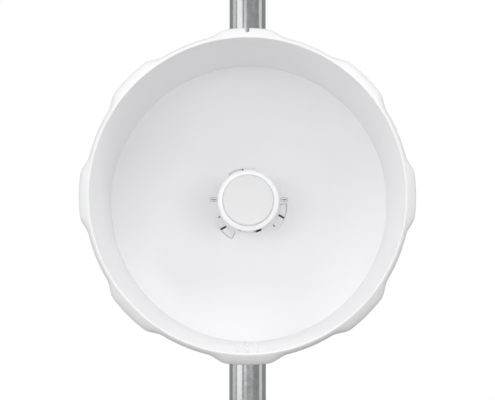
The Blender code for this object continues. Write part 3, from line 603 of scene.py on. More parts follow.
for name, x, z in (
    ("upper_left", -clamp_bolt_x, jaw_offset),
    ("upper_right", clamp_bolt_x, jaw_offset),
    ("lower_left", -clamp_bolt_x, -jaw_offset),
    ("lower_right", clamp_bolt_x, -jaw_offset),
):
    bolt = copied(first_bolt, f"carriage_bolt_{name}", (x, 0, dish_height + z))
    finish_piece(bolt, stainless, [f"clamp_bolt_{name}"])
bpy.data.objects.remove(first_bolt)


# Tilt bracket
# One strip of 3 mm steel bent to a channel and zinc plated. The carriage bolts hold its back on the block,
# and its two arms take the head: a pivot hole each, a curved slot for the lock bolt, and stamped tilt marks.
# Bright zinc plate: a cool grey with a soft shine and rolling lines in the steel under it.
rolled = (12, 12, 1)
zinc_plate = metal_finish("zinc plated pressed steel", "#A9ADB1", "#C3C6C9", 0.34, 0.0012, rolled, 0.00002)
pivot_y = -0.084
arm_outer = 0.0690
arm_inner = 0.0660
back_outer = -0.042
bend = (arm_inner - 0.002, back_outer - 0.005)
left_bend, right_bend = (dish_x - bend[0], bend[1]), (dish_x + bend[0], bend[1])
blank_end = -0.110
channel = [(dish_x - arm_outer, blank_end)]
channel += arc(left_bend, 0.005, 180, 90, 6)
channel += arc(right_bend, 0.005, 90, 0, 6)
channel += [(dish_x + arm_outer, blank_end), (dish_x + arm_inner, blank_end)]
channel += arc(right_bend, 0.002, 0, 90, 5)
channel += arc(left_bend, 0.002, 90, 180, 5)
channel += [(dish_x - arm_inner, blank_end)]
bracket = plate("tilt_bracket", channel, dish_height - 0.060, dish_height + 0.060, "Z")
left_end, right_end = dish_x - 0.08, dish_x + 0.08
low_edge, high_edge = dish_height - 0.050, dish_height + 0.050
side_view = [(-0.0453, low_edge), (-0.0350, low_edge), (-0.0350, high_edge)]
side_view += arc((pivot_y, dish_height + 0.030), 0.020, 90, 180, 10)
side_view += arc((pivot_y, dish_height - 0.004), 0.020, 180, 270, 10)
drop_cutter(bracket, plate("side_view", side_view, left_end, right_end, "X"), "INTERSECT")
pivot = (pivot_y, dish_height)
lock_radius = 0.034
hole_radius = 0.0044
slot_ends = arc(pivot, lock_radius, 70, 110, 1)
slot = arc(pivot, lock_radius + hole_radius, 70, 110, 12)
slot += arc(slot_ends[1], hole_radius, 110, 290, 10)[1:-1]
slot += arc(pivot, lock_radius - hole_radius, 110, 70, 12)
slot += arc(slot_ends[0], hole_radius, -110, 70, 10)[1:-1]
drop_cutter(bracket, plate("lock_slot", slot, left_end, right_end, "X"))
drop_cutter(bracket, plate("pivot_hole", circle(pivot, hole_radius, 36), left_end, right_end, "X"))
for x in (-clamp_bolt_x, clamp_bolt_x):
    for z in (-jaw_offset, jaw_offset):
        hole = circle((x, dish_height + z), 0.0045, 36)
        drop_cutter(bracket, plate("bolt_hole", hole, -0.050, -0.038, "Y"))
soften(bracket, 0.0004, 2, 50)
ticks = []
for step in range(-4, 5):
    turn = math.radians(90 + 5 * step)
    near, far = 0.0402, 0.0436 if step % 2 else 0.0452
    aim = Vector((math.cos(turn), math.sin(turn)))
    across = Vector((-aim.y, aim.x)) * 0.00025
    inner, outer = Vector(pivot) + aim * near, Vector(pivot) + aim * far
    mark = [inner + across, inner - across, outer - across, outer + across]
    for low in (dish_x + arm_outer - 0.0003, dish_x - arm_outer - 0.0010):
        ticks.append(plate("tick", mark, low, low + 0.0013, "X"))
drop_cutter(bracket, joined("ticks", ticks))
finish_piece(bracket, zinc_plate, ["tilt_bracket_back", "tilt_arm_left", "tilt_arm_right"])


# Tilt bolts
# Four M8 hexagon bolts of stainless steel, two a side, each with a flat washer and a spring washer. The lower
# ones are the pivot, and the upper ones lock the tilt.
arm_face = dish_x + arm_outer + 0.0003
pivot_centre = (0, pivot_y, dish_height)
spring_seat = arm_face + 0.0013
head_seat = arm_face + 0.0028
head_top = arm_face + 0.0072
flat_washer = turned("flat_washer", band(0.0042, 0.0085, arm_face, spring_seat), 48, "X", pivot_centre)
soften(flat_washer, 0.0003)
spring_ring = band(0.0042, 0.0068, spring_seat, head_seat)
spring_washer = turned("spring_washer", spring_ring, 48, "X", pivot_centre)
split = [(pivot_y + y / 1000, dish_height + z / 1000) for y, z in ((-0.2, 3), (0.8, 3), (1.4, 8), (0.4, 8))]
drop_cutter(spring_washer, plate("split", split, arm_face + 0.001, arm_face + 0.004, "X"))
soften(spring_washer, 0.0002)
pin = turned("pin", band(0, 0.0040, dish_x + 0.0603, arm_face + 0.0040), 24, "X", pivot_centre)
head = hexagon("head", 0.0128, head_seat, head_top, "X", pivot_centre)
hollow = [(0, head_top - 0.0005), (0.0036, head_top - 0.0005)]
hollow += [(0.0044, head_top + 0.0008), (0, head_top + 0.0008)]
drop_cutter(head, turned("hollow", hollow, 36, "X", pivot_centre))
pivot_right = joined("pivot_bolt_right", [head, flat_washer, spring_washer, pin])
lock_right = copied(pivot_right, "lock_bolt_right", (0, 0, lock_radius))
for right, part in ((pivot_right, "pivot"), (lock_right, "lock")):
    left = copied(right, f"{part}_bolt_left", turn=180, pivot=(dish_x, pivot_y, dish_height))
    finish_piece(left, stainless, [f"tilt_{part}_bolt_left"])
    finish_piece(right, stainless, [f"tilt_{part}_bolt_right"])


# Rear housing
# The radio's housing, moulded in white plastic with a fine texture: a tray with a round flange in front and a
# boss for each tilt bolt, a black gasket, and a lid with a soft rim and four screws.
# Fine textured plastic: matt, so it shows soft light and no clear reflections.
white_housing = moulded_plastic("fine textured white plastic", "#E6E6E7", "#E2E2E3", 0.55, 0.0010, 0.00006)
# Moulded rubber for the gasket: nearly black and dull.
rubber = moulded_plastic("moulded rubber", "#1B1B1B", "#151515", 0.72, 0.0012, 0.00004)
housing_middle = (dish_x, dish_height)
tray_back = -0.0690
lid_front = -0.0682
lid_back = -0.0620
flange_front, flange_back = -0.1107, -0.1040
flange_edge = 0.0760
flange_cut = 0.0008
flange = [(0, flange_front), (flange_edge - flange_cut, flange_front)]
flange += [(flange_edge, flange_front + flange_cut), (flange_edge, flange_back - flange_cut)]
flange += [(flange_edge - flange_cut, flange_back), (0, flange_back)]
shell_outline = rounded(0.058, 0.072, 0.016, housing_middle)
tray = plate("housing_tray", shell_outline, -0.106, tray_back, "Y")
drop_cutter(tray, turned("flange", flange, 120), "UNION")
for side in (-1, 1):
    for radius, z in ((0.013, 0), (0.009, lock_radius)):
        foot = radius + 0.0022
        boss = [(0, 0.0540), (foot, 0.0540), (foot, 0.0581), (radius + 0.0007, 0.0588), (radius, 0.0600)]
        boss += [(radius, 0.0657), (hole_radius, 0.0657), (hole_radius, 0.0600), (0, 0.0600)]
        centre = (dish_x, pivot_y, dish_height + z)
        made = turned("boss", [(r, side * a) for r, a in boss], 48, "X", centre)
        drop_cutter(tray, made, "UNION")
soften(tray, 0.0006)
finish_piece(tray, white_housing, ["rear_housing"])
gasket = plate("housing_gasket", rounded(0.0568, 0.0708, 0.0148, housing_middle), tray_back, lid_front, "Y")
finish_piece(gasket, rubber, ["rear_housing"])

lid = plate("housing_lid", shell_outline, lid_front, lid_back, "Y")
open_up(lid)
pick(lid, lambda edge: all(abs(point.co.y - lid_back) < 1e-5 for point in edge.verts), "EDGE")
bpy.ops.mesh.bevel(offset=0.005, segments=6, profile=0.5, affect="EDGES")
close_up()
past_lid = lid_back + 0.002
seat = lid_back - 0.0030
light_middle = (dish_x, dish_height + 0.055)
panel = rounded(0.044, 0.044, 0.008, (dish_x, dish_height - 0.006))
drop_cutter(lid, plate("panel", panel, lid_back - 0.0008, past_lid, "Y"))
screw_spots = [(dish_x + x, dish_height + z) for x in (-0.0455, 0.0455) for z in (-0.0595, 0.0595)]
for spot in screw_spots:
    drop_cutter(lid, plate("counterbore", circle(spot, 0.0043, 36), seat, past_lid, "Y"))
light_floor = lid_back - 0.0012
light_slot = rounded(0.0132, 0.0030, 0.0027, light_middle)
drop_cutter(lid, plate("light_slot", light_slot, light_floor, past_lid, "Y"))
soften(lid, 0.0003, 2, 50)
finish_piece(lid, white_housing, ["rear_housing"])

pan = laid_out(((0, 0), (3.7, 0), (3.7, 1.0), (3.3, 1.8), (2.0, 2.3), (0, 2.4)), seat)
first_screw = turned("lid_screw_1", pan, 36, centre=(screw_spots[0][0], 0, screw_spots[0][1]))
for half_width, half_height in ((0.0019, 0.0004), (0.0004, 0.0019)):
    cross = rounded(half_width, half_height, 0.0002, screw_spots[0], 2)
    drop_cutter(first_screw, plate("cross", cross, seat + 0.0012, seat + 0.0040, "Y"))
lid_screws = [first_screw]
for number, spot in enumerate(screw_spots[1:], 2):
    shift = (spot[0] - screw_spots[0][0], 0, spot[1] - screw_spots[0][1])
    lid_screws.append(copied(first_screw, f"lid_screw_{number}", shift))
for lid_screw in lid_screws:
    finish_piece(lid_screw, stainless, ["rear_housing"])


# Status window
# A smoked, polished plastic window in the lid, with four small round lenses for the status lights behind it.
# Polished smoked plastic: nearly black, with sharp reflections.
smoked = moulded_plastic("polished smoked plastic", "#34373A", "#2C2F32", 0.08, 0.0020, 0.000002)
# Frosted lenses of unlit green plastic.
lens_green = moulded_plastic("frosted green plastic", "#9FB7A4", "#93AD99", 0.30, 0.0008, 0.00001)
window_outline = rounded(0.0130, 0.0028, 0.0025, light_middle)
window = plate("status_window", window_outline, light_floor, lid_back + 0.0014, "Y")
soften(window, 0.0004, 3)
finish_piece(window, smoked, ["led_window"])
lens_step = 0.0052
lens = laid_out(((0, 0), (1.1, 0), (1.0, 0.4), (0.5, 0.6), (0, 0.65)), lid_back + 0.0012)
first_lens = turned("status_lens_1", lens, 24, centre=(dish_x - 1.5 * lens_step, 0, light_middle[1]))
lenses = [first_lens]
for number in (2, 3, 4):
    lenses.append(copied(first_lens, f"status_lens_{number}", (lens_step * (number - 1), 0, 0)))
for made in lenses:
    finish_piece(made, lens_green)


# Port cover
# A small white cover over the sockets under the housing.
# It slides off, and ribs on its back give a finger hold.
underside = dish_height - 0.072
cover_outline = rounded(0.024, 0.016, 0.0035, (dish_x, pivot_y))
cover = plate("port_slide", cover_outline, underside - 0.0055, underside - 0.0003, "Z")
soften(cover, 0.0012, 3)
for x in (-0.010, -0.005, 0.0, 0.005, 0.010):
    grip = rounded(0.0008, 0.0010, 0.0006, (dish_x + x, pivot_y + 0.0160), 4)
    drop_cutter(cover, plate("grip", grip, underside - 0.0046, underside - 0.0014, "Z"), "UNION")
finish_piece(cover, white_housing, ["port_cover"])


# Cable gland
# A black nylon gland screwed into the cover: a hexagon base, a dome nut with a smaller hexagon, and a rubber
# ring inside that grips one outdoor cable. No cable is fitted.
gland_top = underside - 0.0058
gland_centre = (dish_x, pivot_y, 0)
base = hexagon("gland_body", 0.0180, gland_top, gland_top - 0.0042, "Z", gland_centre)
nut = hexagon("nut", 0.0152, gland_top - 0.0044, gland_top - 0.0110, "Z", gland_centre, both=True)
dome_shape = ((5.0, 9.0), (7.9, 9.0), (7.9, 12.5), (7.6, 15.0), (6.9, 17.1), (6.2, 18.0), (5.0, 18.0))
dome = turned("dome", laid_out(dome_shape, gland_top, -1), 48, "Z", gland_centre)
collar = turned("collar", band(0, 0.0070, gland_top - 0.0030, gland_top - 0.0060), 48, "Z", gland_centre)
gland = joined("gland_body", [base, nut, dome, collar])
finish_piece(gland, black_plastic, ["cable_gland"])
ring_shape = ((3.2, 17.2), (4.6, 17.6), (5.0, 17.0), (5.0, 10.0), (3.2, 10.0))
gland_ring = turned("gland_ring", laid_out(ring_shape, gland_top, -1), 48, "Z", gland_centre)
finish_piece(gland_ring, rubber, ["cable_gland"])


# Earthing screw
# A stainless hexagon screw with a toothed washer on the housing's right side, for the earth lead.
earth_seat = dish_x + 0.0583
earth_height = dish_height - 0.048
earth_centre = (0, pivot_y, earth_height)
toothed = []
for step in range(24):
    radius = 0.0064 if step % 2 else 0.0055
    turn = math.tau * step / 24
    toothed.append((pivot_y + radius * math.cos(turn), earth_height + radius * math.sin(turn)))
earth_washer = plate("earth_washer", toothed, earth_seat, earth_seat + 0.0010, "X")
earth_head = hexagon("earth_screw", 0.0080, earth_seat + 0.0009, earth_seat + 0.0045, "X", earth_centre)
slit = rounded(0.0040, 0.0005, 0.0001, (pivot_y, earth_height), 2)
drop_cutter(earth_head, plate("slit", slit, earth_seat + 0.0034, earth_seat + 0.0060, "X"))
earth_screw = joined("earth_screw", [earth_head, earth_washer])
finish_piece(earth_screw, stainless, ["ground_screw"])


# Reflector
# A deep paraboloid dish, injection moulded in white plastic with a metal film under its skin. Its middle is
# open for the feed, with three curved windows round it for the feed's bayonet, and its edge has a flange.
def swept(name, section, start, end, steps):
    """A closed (radius, y) section swept round the dish axis from one angle to another, in degrees from the
    right, counter-clockwise as seen from the front."""
    turn = math.radians(start)
    across, up = math.cos(turn), math.sin(turn)
    points = [(dish_x + radius * across, y, dish_height + radius * up) for radius, y in section]
    piece = draw_line(name, points, closed=True)
    bpy.ops.mesh.edge_face_add()
    middle = (dish_x, 0, dish_height)
    bpy.ops.mesh.spin(steps=steps, angle=math.radians(end - start), center=middle, axis=(0, 1, 0))
    close_up()
    return piece


# Satin plastic: soft sheen, with a very slight waviness from moulding.
white_dish = moulded_plastic("satin moulded white plastic", "#F3F3F4", "#F0F0F1", 0.42, 0.0008, 0.00002)
focal_length = 0.1548
vertex_y = -0.12346
sheet = 0.0025
bore_radius = 0.0415
edge_radius = 0.206
flange_radius = 0.2105


def reflector_y(radius):
    """The reflector's front face at a distance from the dish axis."""
    return vertex_y - radius * radius / (4 * focal_length)


stations = [bore_radius + (edge_radius - bore_radius) * step / 56 for step in range(57)]
front_face = [(radius, reflector_y(radius)) for radius in stations]
edge_y = reflector_y(edge_radius)
flange_face = [(flange_radius, edge_y), (flange_radius, edge_y + sheet)]
back_face = [(radius, y + sheet) for radius, y in reversed(front_face)]
reflector = turned("reflector_shell", front_face + flange_face + back_face, 240)
lug_inner = 0.0478
lug_outer = 0.0574
lug_angles = (101.1, 221.1, 341.1)
lug_half_span = 21.0
window_inner, window_outer = lug_inner - 0.0003, lug_outer + 0.0003
window_front = reflector_y(window_outer) - 0.004
window_back = reflector_y(window_inner) + sheet + 0.004
window_section = band(window_inner, window_outer, window_front, window_back)
for angle in lug_angles:
    window_end = angle + lug_half_span + 0.9
    drop_cutter(reflector, swept("window", window_section, angle - lug_half_span - 0.1, window_end, 30))
    wider = [(radius + 0.0004, y) for radius, y in window_section]
    drop_cutter(reflector, swept("wider_edge", wider, angle + 2, window_end, 20))
# The bore's edge has a notch below the feed for the black piece that darkens the gap there: painted shade.
black_gap_radius = 0.0430
black_gap_notch = band(0.0400, black_gap_radius, -0.1290, -0.1180)
drop_cutter(reflector, swept("black_gap_notch", black_gap_notch, 284.5, 297.0, 12))
soften(reflector, 0.0003, 2, 50)
finish_piece(reflector, white_dish, ["reflector_dish"])


# Reflector ribs
# Eight thin ribs moulded on the reflector's back, from its hub ring out to the flange, between the clips.
# They are 8.5 mm high at the hub ring and 2 mm at the flange.
rib_inner, rib_outer = 0.0765, 0.2000
rib_stations = [rib_inner + (rib_outer - rib_inner) * step / 14 for step in range(15)]
rib_section = [(radius, reflector_y(radius) + sheet - 0.0004) for radius in rib_stations]
for radius in reversed(rib_stations):
    rib_height = 0.0085 - 0.0065 * (radius - rib_inner) / (rib_outer - rib_inner)
    rib_section.append((radius, reflector_y(radius) + sheet + rib_height))
ribs = plate("reflector_ribs", rib_section, -0.0009, 0.0009, "Z")
open_up(ribs)
bpy.ops.transform.rotate(value=math.radians(22.5), orient_axis="Y", center_override=(0, 0, 0))
fan_out((45, 90, 180), "Y")
bpy.ops.transform.translate(value=(dish_x, 0, dish_height))
bpy.ops.object.mode_set(mode="OBJECT")
soften(ribs, 0.0004)
finish_piece(ribs, white_dish, ["reflector_dish"])


# Hub ring
# A white moulded ring that spaces the housing's flange off the reflector's back.
# Its front slopes with the reflector's back.
hub_inner = 0.0605
hub_back = flange_front - 0.0003
hub_profile = [
    (hub_inner, reflector_y(hub_inner) + sheet + 0.0003),
    (flange_edge, reflector_y(flange_edge) + sheet + 0.0006),
    (flange_edge, hub_back),
    (hub_inner, hub_back),
]
hub = turned("hub_spacer", hub_profile, 160)
soften(hub, 0.0005)
finish_piece(hub, white_housing, ["hub_ring"])


# Printed marks
# Two small pill-shaped marks in grey ink beside the feed, each with a padlock and a dash on both sides of it.
# They show which way the feed turns to lock.
# Pad-printed ink: a dull mid grey.
grey_ink = moulded_plastic("pad-printed grey ink", "#626365", "#5B5C5E", 0.6, 0.0006, 0.000005)
ink_stations = [0.044 + 0.0028 * step for step in range(9)]
ink_section = [(radius, reflector_y(radius) - 0.00012) for radius in ink_stations]
ink_section += [(radius, reflector_y(radius) + 0.0006) for radius in reversed(ink_stations)]
for name, x, z, start in (("left", -0.0549, 0.0092, 156), ("right", 0.0543, 0.0091, -5)):
    spot = (dish_x + x, dish_height + z)
    front, back = -0.20, -0.10
    ring = plate("pill", rounded(0.0058, 0.0032, 0.0031, spot), front, back, "Y")
    inside = rounded(0.00545, 0.00285, 0.00275, spot)
    drop_cutter(ring, plate("inside", inside, front - 0.01, back + 0.01, "Y"))
    body = plate("body", rounded(0.0010, 0.0008, 0.0002, (spot[0], spot[1] - 0.0005), 2), front, back, "Y")
    shackle_low = (spot[0], spot[1] + 0.0003)
    shackle = arc(shackle_low, 0.0009, 0, 180, 10) + arc(shackle_low, 0.0005, 180, 0, 10)
    drop_cutter(body, plate("shackle", shackle, front, back, "Y"), "UNION")
    dashes = []
    for shift in (-0.0026, 0.0026):
        dash = rounded(0.0011, 0.0006, 0.0002, (spot[0] + shift, spot[1]), 2)
        dashes.append(plate("dash", dash, front, back, "Y"))
    shapes = joined("shapes", [ring, body, *dashes])
    ink = swept(f"lock_mark_{name}", ink_section, start, start + 29, 24)
    drop_cutter(ink, shapes, "INTERSECT")
    finish_piece(ink, grey_ink)


# Feed
# A tower of smooth moulded plastic that stands in the reflector's bore and sends the beam into the dish: a
# frosted front cap, a wider ring behind it, and a slightly tapered neck on a hidden bayonet plate. A collar
# round its foot fills the bore, apart from two gaps below. A black piece and a dark grey piece sit in them as
# painted shade, which darkens the gaps.
# The feed's white is a touch whiter than the dish's: painted highlight on the ring, the neck and the collar.
feed_white_painted_highlight = moulded_plastic("smooth moulded white plastic", "#F7F7F8", "#F4F4F5", 0.36, 0.0006, 0.00001)
# The cap's white is greyer than the ring's: painted shade on the cap's face. Frosting is its rougher finish.
frosted_cap_painted_shade = moulded_plastic("frosted white plastic", "#DDDDDE", "#DADADB", 0.5, 0.0006, 0.00001)
feed_front = -0.268
disc_radius = 0.0376
disc_back = feed_front + 0.0062
ring_radius = 0.0444
ring_front = disc_back + 0.0003
ring_back = ring_front + 0.012
neck_radius = 0.036
base_radius = 0.0385
plate_radius = 0.060
plate_front = -0.1187
plate_back = -0.1120
# The cap's edge is a small round and then a steep cone, which is dark below and light above. It is given in
# millimetres inside the cap's radius and behind its front.
cap_edge = ((3.2, 0), (2.6, 0), (2.0, 0.2), (1.6, 0.6), (1.3, 1.4), (1.0, 2.8))
cap_outline = [(0, feed_front)]
cap_outline += [(disc_radius - gap / 1000, feed_front + depth / 1000) for gap, depth in cap_edge]
cap_outline += [(disc_radius, disc_back + 0.0002), (0, disc_back + 0.0002)]
disc = turned("feed_cap", cap_outline, 160)
finish_piece(disc, frosted_cap_painted_shade, ["feed_front_disc"])
ring_round, ring_slope = 0.0066, 0.0050
ring_outline = [(0, ring_front), (ring_radius - ring_round - 0.0008, ring_front)]
for step in range(9):
    turn = math.radians(90 * step / 8)
    inset, drop = ring_round * (1 - math.sin(turn)), ring_slope * (1 - math.cos(turn))
    ring_outline.append((ring_radius - inset, ring_front + drop))
ring_outline += [(ring_radius, ring_back - 0.0015)]
ring_outline += arc((ring_radius - 0.0012, ring_back - 0.0012), 0.0012, 0, 90, 4)
ring_outline += [(0, ring_back)]
feed_ring = turned("feed_ring", ring_outline, 160)
finish_piece(feed_ring, feed_white_painted_highlight, ["feed_flange_ring"])
neck_outline = [
    (0, ring_back + 0.0003),
    (neck_radius, ring_back + 0.0003),
    (base_radius, plate_front),
    (plate_radius, plate_front),
    (plate_radius, plate_back),
    (0, plate_back),
]
neck = turned("feed_neck", neck_outline, 160)
soften(neck, 0.0005)
collar_section = band(0.0372, 0.0412, -0.1264, plate_front)
collar_ends = ((252, 281, 20), (298, 604, 150))
collar_parts = [swept("collar", collar_section, *ends) for ends in collar_ends]
for part in collar_parts:
    soften(part, 0.0004)
feed_neck = joined("feed_neck", [neck, *collar_parts])
finish_piece(feed_neck, feed_white_painted_highlight, ["feed_body"])
plate_seat = plate_front - 0.0003
# A black piece in the right gap below the feed: painted shade that darkens the gap nearly to black.
black_gap_section = band(0.0380, black_gap_radius - 0.0002, -0.1256, plate_seat)
black_gap_piece = swept("feed_gap_black_shade", black_gap_section, 284.7, 296.8, 12)
finish_piece(black_gap_piece, black_plastic, ["feed_body"])
# Dark grey acetal for the small latches: dull and a little dusty.
latch_grey = moulded_plastic("dark grey moulded plastic", "#363637", "#303031", 0.5, 0.0008, 0.00003)
# A dark grey piece in the left gap below the feed: painted shade that darkens that gap to mid grey.
grey_gap_piece = swept("feed_gap_grey_shade", band(0.0387, 0.0411, -0.1228, plate_seat), 244.6, 251.4, 8)
finish_piece(grey_gap_piece, latch_grey, ["feed_body"])


# Bayonet lugs
# Three pads of the feed's plate fill the windows in the reflector, flush with its face. Each has a slanting
# slot across its middle with a dark latch in it, and a dark corner stop where the bayonet starts.
inner_face, outer_face = reflector_y(lug_inner), reflector_y(lug_outer)
pad_section = [(lug_inner, inner_face), (lug_outer, outer_face)]
pad_section += [(lug_outer, plate_seat), (lug_inner, plate_seat)]
reach = (lug_inner + lug_outer) / 2
slot_floor = -0.1225
slot_front = outer_face - 0.004
relief_section = band(lug_inner - 0.002, lug_inner + 0.0036, slot_front, -0.1200)
corner_section = band(lug_inner + 0.0001, lug_inner + 0.0034, inner_face + 0.0008, -0.1201)
corners = ((1, 1), (-1, 1), (-1, -1), (1, -1))
for number, angle in enumerate(lug_angles, 1):
    pad = swept(f"bayonet_pad_{number}", pad_section, angle - lug_half_span, angle + lug_half_span, 24)
    middle = math.radians(angle)
    spot = Vector((dish_x + reach * math.cos(middle), dish_height + reach * math.sin(middle)))
    slant = math.radians(angle - 11.5)
    along = Vector((math.cos(slant), math.sin(slant)))
    across = Vector((-along.y, along.x))
    slot = [spot + 0.0070 * a * along + 0.0015 * b * across for a, b in corners]
    drop_cutter(pad, plate("slot", slot, slot_front, slot_floor, "Y"))
    corner = angle - lug_half_span
    drop_cutter(pad, swept("relief", relief_section, corner - 1.0, corner + 1.7, 4))
    soften(pad, 0.0003)
    finish_piece(pad, white_dish, [f"bayonet_lug_{number}"])
    latch_outline = [spot + 0.0046 * a * along + 0.00125 * b * across for a, b in corners]
    latch = plate("latch", latch_outline, reflector_y(reach) + 0.0012, slot_floor - 0.0001, "Y")
    corner_stop = swept("corner_stop", corner_section, corner + 0.1, corner + 1.6, 4)
    latch = joined(f"bayonet_latch_{number}", [latch, corner_stop])
    soften(latch, 0.0002)
    finish_piece(latch, latch_grey, [f"bayonet_lug_{number}"])


# Shroud
# A deep white ring that keeps stray signals out, moulded in one piece: a rolled rim with eight flat lobes
# that run back as ribs, a notch at the top to sight along the mast, and drain slots at the bottom.
lobes = 8
lobe_flat = 7.2
lobe_foot = 14.0
wall = 0.003
mouth_inner = 0.2134
lobe_fade = 0.150
seat_depth = edge_y - mouth_y - 0.0003
with_painted_shade = "satin white plastic, dulled outside"
white_ring = moulded_plastic(with_painted_shade, "#F4F4F5", "#F1F1F2", 0.42, 0.0008, 0.00002)
# The outer skin and the rim are a greyer white than the inner wall: painted shade on the rim's face and
# lobes. The white changes where the distance from the dish axis passes the inner wall's taper.
taper = (mouth_inner - edge_radius - 0.0003) / (edge_y - mouth_y)
wall_share = mouth_inner + taper * mouth_y
skin_start, skin_end = wall_share + 0.0003, wall_share + 0.0016
tree = white_ring.node_tree
base_colour = tree.nodes["Principled BSDF"].inputs["Base Color"]
inner_wall_white = base_colour.links[0].from_socket
place = add(tree, "ShaderNodeTexCoord", {}).outputs["Object"]
off_axis = {"operation": "SUBTRACT", 1: (dish_x, 0, dish_height)}
from_axis = add(tree, "ShaderNodeVectorMath", off_axis, {0: place})
flat = add(tree, "ShaderNodeVectorMath", {"operation": "MULTIPLY", 1: (1, 0, 1)}, {0: from_axis.outputs[0]})
reach = add(tree, "ShaderNodeVectorMath", {"operation": "LENGTH"}, {0: flat.outputs[0]})
axes = add(tree, "ShaderNodeSeparateXYZ", {}, {0: place})
along_wall = {0: axes.outputs["Y"], 2: reach.outputs["Value"]}
past_wall = add(tree, "ShaderNodeMath", {"operation": "MULTIPLY_ADD", 1: taper}, along_wall)
change = {"interpolation_type": "SMOOTHSTEP", "From Min": skin_start, "From Max": skin_end}
painted_shade_mask = add(tree, "ShaderNodeMapRange", change, {0: past_wall.outputs[0]})
# Painted shade: the greyer white of the outer skin and the rim.
painted_shade_grey = {"data_type": "RGBA", 7: linear("#E1E1E2")}
shaded_skin_white = add(tree, "ShaderNodeMix", painted_shade_grey, {0: painted_shade_mask.outputs[0], 6: inner_wall_white})
tree.links.new(shaded_skin_white.outputs[2], base_colour)


def inner_radius(depth):
    """The straight taper of the shroud's inner wall, from the mouth to the reflector's edge."""
    return mouth_inner - taper * depth


def refined(rows, parts):
    """A smooth curve through rows of numbers, with so many steps between neighbours."""
    padded = [rows[0], *rows, rows[-1]]
    fine = []
    for before, here, there, after in zip(padded, padded[1:], padded[2:], padded[3:]):
        for step in range(parts):
            t = step / parts
            row = []
            for a, b, c, d in zip(before, here, there, after):
                bow = (2 * a - 5 * b + 4 * c - d) * t**2 / 2
                turn = (3 * b - a - 3 * c + d) * t**3 / 2
                row.append(b + (c - a) * t / 2 + bow + turn)
            fine.append(tuple(row))
    return [*fine, rows[-1]]


# Outer skin, from the crest of the rim backwards: depth, radius at a waist, radius at a lobe.
rim_rows = refined(
    [
        (0.0000, 0.2151, 0.2151),
        (0.0007, 0.2167, 0.2170),
        (0.0035, 0.2190, 0.2216),
        (0.0070, 0.2207, 0.2257),
        (0.0110, 0.2216, 0.2286),
        (0.0150, 0.2217, 0.2293),
    ],
    3,
)
rim_rows += [
    (0.0200, 0.2217, 0.2293),
    (0.0258, 0.2217, 0.2293),
    (0.0275, 0.22135, 0.22915),
    (0.0290, 0.2202, 0.22855),
]
rim_end, rim_waist, rim_lobe = rim_rows[-1]
wall_at_fade = inner_radius(lobe_fade) + wall
for depth in (0.0315, 0.0340, 0.0365, 0.0400, 0.0500, 0.0700, 0.0900, 0.1100, 0.1300, lobe_fade):
    share = (depth - rim_end) / (lobe_fade - rim_end)
    waist = max(inner_radius(depth) + wall, rim_waist - 0.85 * (depth - rim_end))
    rim_rows.append((depth, waist, rim_lobe + (wall_at_fade - rim_lobe) * share))
shoulder = seat_depth - 0.0058
skirt_end = seat_depth + 0.0058
rear_rows = [
    (shoulder - 0.0040, inner_radius(shoulder - 0.0040) + wall),
    (shoulder - 0.0010, 0.2127),
    (shoulder - 0.0002, 0.2135),
    (shoulder + 0.0006, 0.2137),
    (skirt_end - 0.0004, 0.2137),
    (skirt_end, 0.2133),
    (skirt_end, 0.2109),
    (seat_depth, 0.2109),
]
inside_depths = [seat_depth * (14 - step) / 14 for step in range(14)]
inside_rows = [(depth, inner_radius(depth)) for depth in inside_depths]
inside_rows += [(0.0022, 0.2134), (0.0011, 0.2135), (0.0004, 0.2138), (0.0, 0.2143)]
outline = [(waist, mouth_y + depth, 0) for depth, waist, _ in rim_rows]
outline += [(radius, mouth_y + depth, 0) for depth, radius in rear_rows + inside_rows]
shroud = draw_line("isolator_ring", outline, closed=True)
column_count = 30
half_pitch = 180 / lobes
bpy.ops.mesh.spin(steps=column_count, angle=math.radians(half_pitch), center=(0, 0, 0), axis=(0, 1, 0))
for column in range(column_count + 1):
    off = half_pitch * column / column_count
    step = min(max((off - lobe_flat) / (lobe_foot - lobe_flat), 0), 1)
    swell = 1 - step * step * (3 - 2 * step)
    if swell == 0:
        continue
    turn = math.radians(off)
    for depth, waist, lobe in rim_rows:
        if lobe - waist < 1e-6:
            continue
        spot = Vector((waist * math.cos(turn), mouth_y + depth, waist * math.sin(turn)))
        pick(shroud, lambda point: (point.co - spot).length < 2e-5, "VERT")
        growth = 1 + (lobe - waist) * swell / waist
        bpy.ops.transform.resize(value=(growth, 1, growth), center_override=(0, mouth_y + depth, 0))
bpy.ops.mesh.select_all(action="SELECT")
bpy.ops.mesh.duplicate()
bpy.ops.transform.resize(value=(1, 1, -1), center_override=(0, 0, 0))
fan_out((45, 90, 180), "Y")
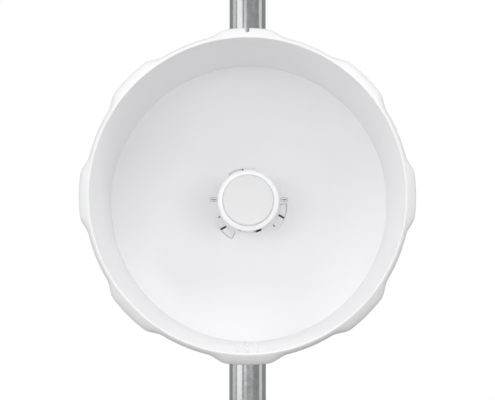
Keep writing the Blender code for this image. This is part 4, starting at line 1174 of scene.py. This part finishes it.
bpy.ops.transform.translate(value=(dish_x, 0, dish_height))
close_up()
notch_half = 0.0031
notch_edge = 0.0014
lobe_top = dish_height + 0.2293
notch_top = lobe_top - notch_edge
notch_left, notch_right = dish_x - notch_half - notch_edge, dish_x + notch_half + notch_edge
notch = [(notch_right, dish_height + 0.235), (notch_left, dish_height + 0.235)]
notch += arc((notch_left, notch_top), notch_edge, 90, 0, 5)
notch += arc((dish_x, lobe_top - 0.008 + notch_half), notch_half, 180, 360, 12)
notch += arc((notch_right, notch_top), notch_edge, 180, 90, 5)
drop_cutter(shroud, plate("notch", notch, mouth_y - 0.004, mouth_y + 0.085, "Y"))
drain_half, drain_reach = 0.0019, 0.0037
for x in (-0.0135, 0.0, 0.0135):
    for depth in (0.026, 0.068, 0.114, 0.161):
        drain = arc((dish_x + x, mouth_y + depth + drain_reach), drain_half, 0, 180)
        drain += arc((dish_x + x, mouth_y + depth - drain_reach), drain_half, 180, 360)
        drop_cutter(shroud, plate("drain", drain, dish_height - 0.235, dish_height - 0.200, "Z"))
finish_piece(shroud, white_ring, ["isolator_shroud"])


# Shroud clips
# Eight moulded hooks, one behind each lobe, that snap over the shroud's skirt and hold it on the reflector's
# flange. Each has a small rib across it for the thumb.
hook_shape = ((214.0, -5.8), (217.0, -4.8), (217.0, 8.8), (206.5, 8.8), (206.5, 2.8), (210.5, 2.8))
hook_shape += ((210.5, 5.8), (214.0, 5.8))
first_clip = plate("shroud_hook", laid_out(hook_shape, edge_y), -0.012, 0.012, "Z")
soften(first_clip, 0.0006)
thumb = arc((0.2168, edge_y + 0.0015), 0.0008, -90, 90, 8)
thumb += [(0.2160, edge_y + 0.0023), (0.2160, edge_y + 0.0007)]
drop_cutter(first_clip, plate("thumb", thumb, -0.009, 0.009, "Z"), "UNION")
for number in range(1, 9):
    shift = (dish_x, 0, dish_height)
    clip = copied(first_clip, f"shroud_hook_{number}", shift, 45 * (number - 1), "Y")
    finish_piece(clip, white_ring, [f"shroud_clip_{number}"])
bpy.data.objects.remove(first_clip)
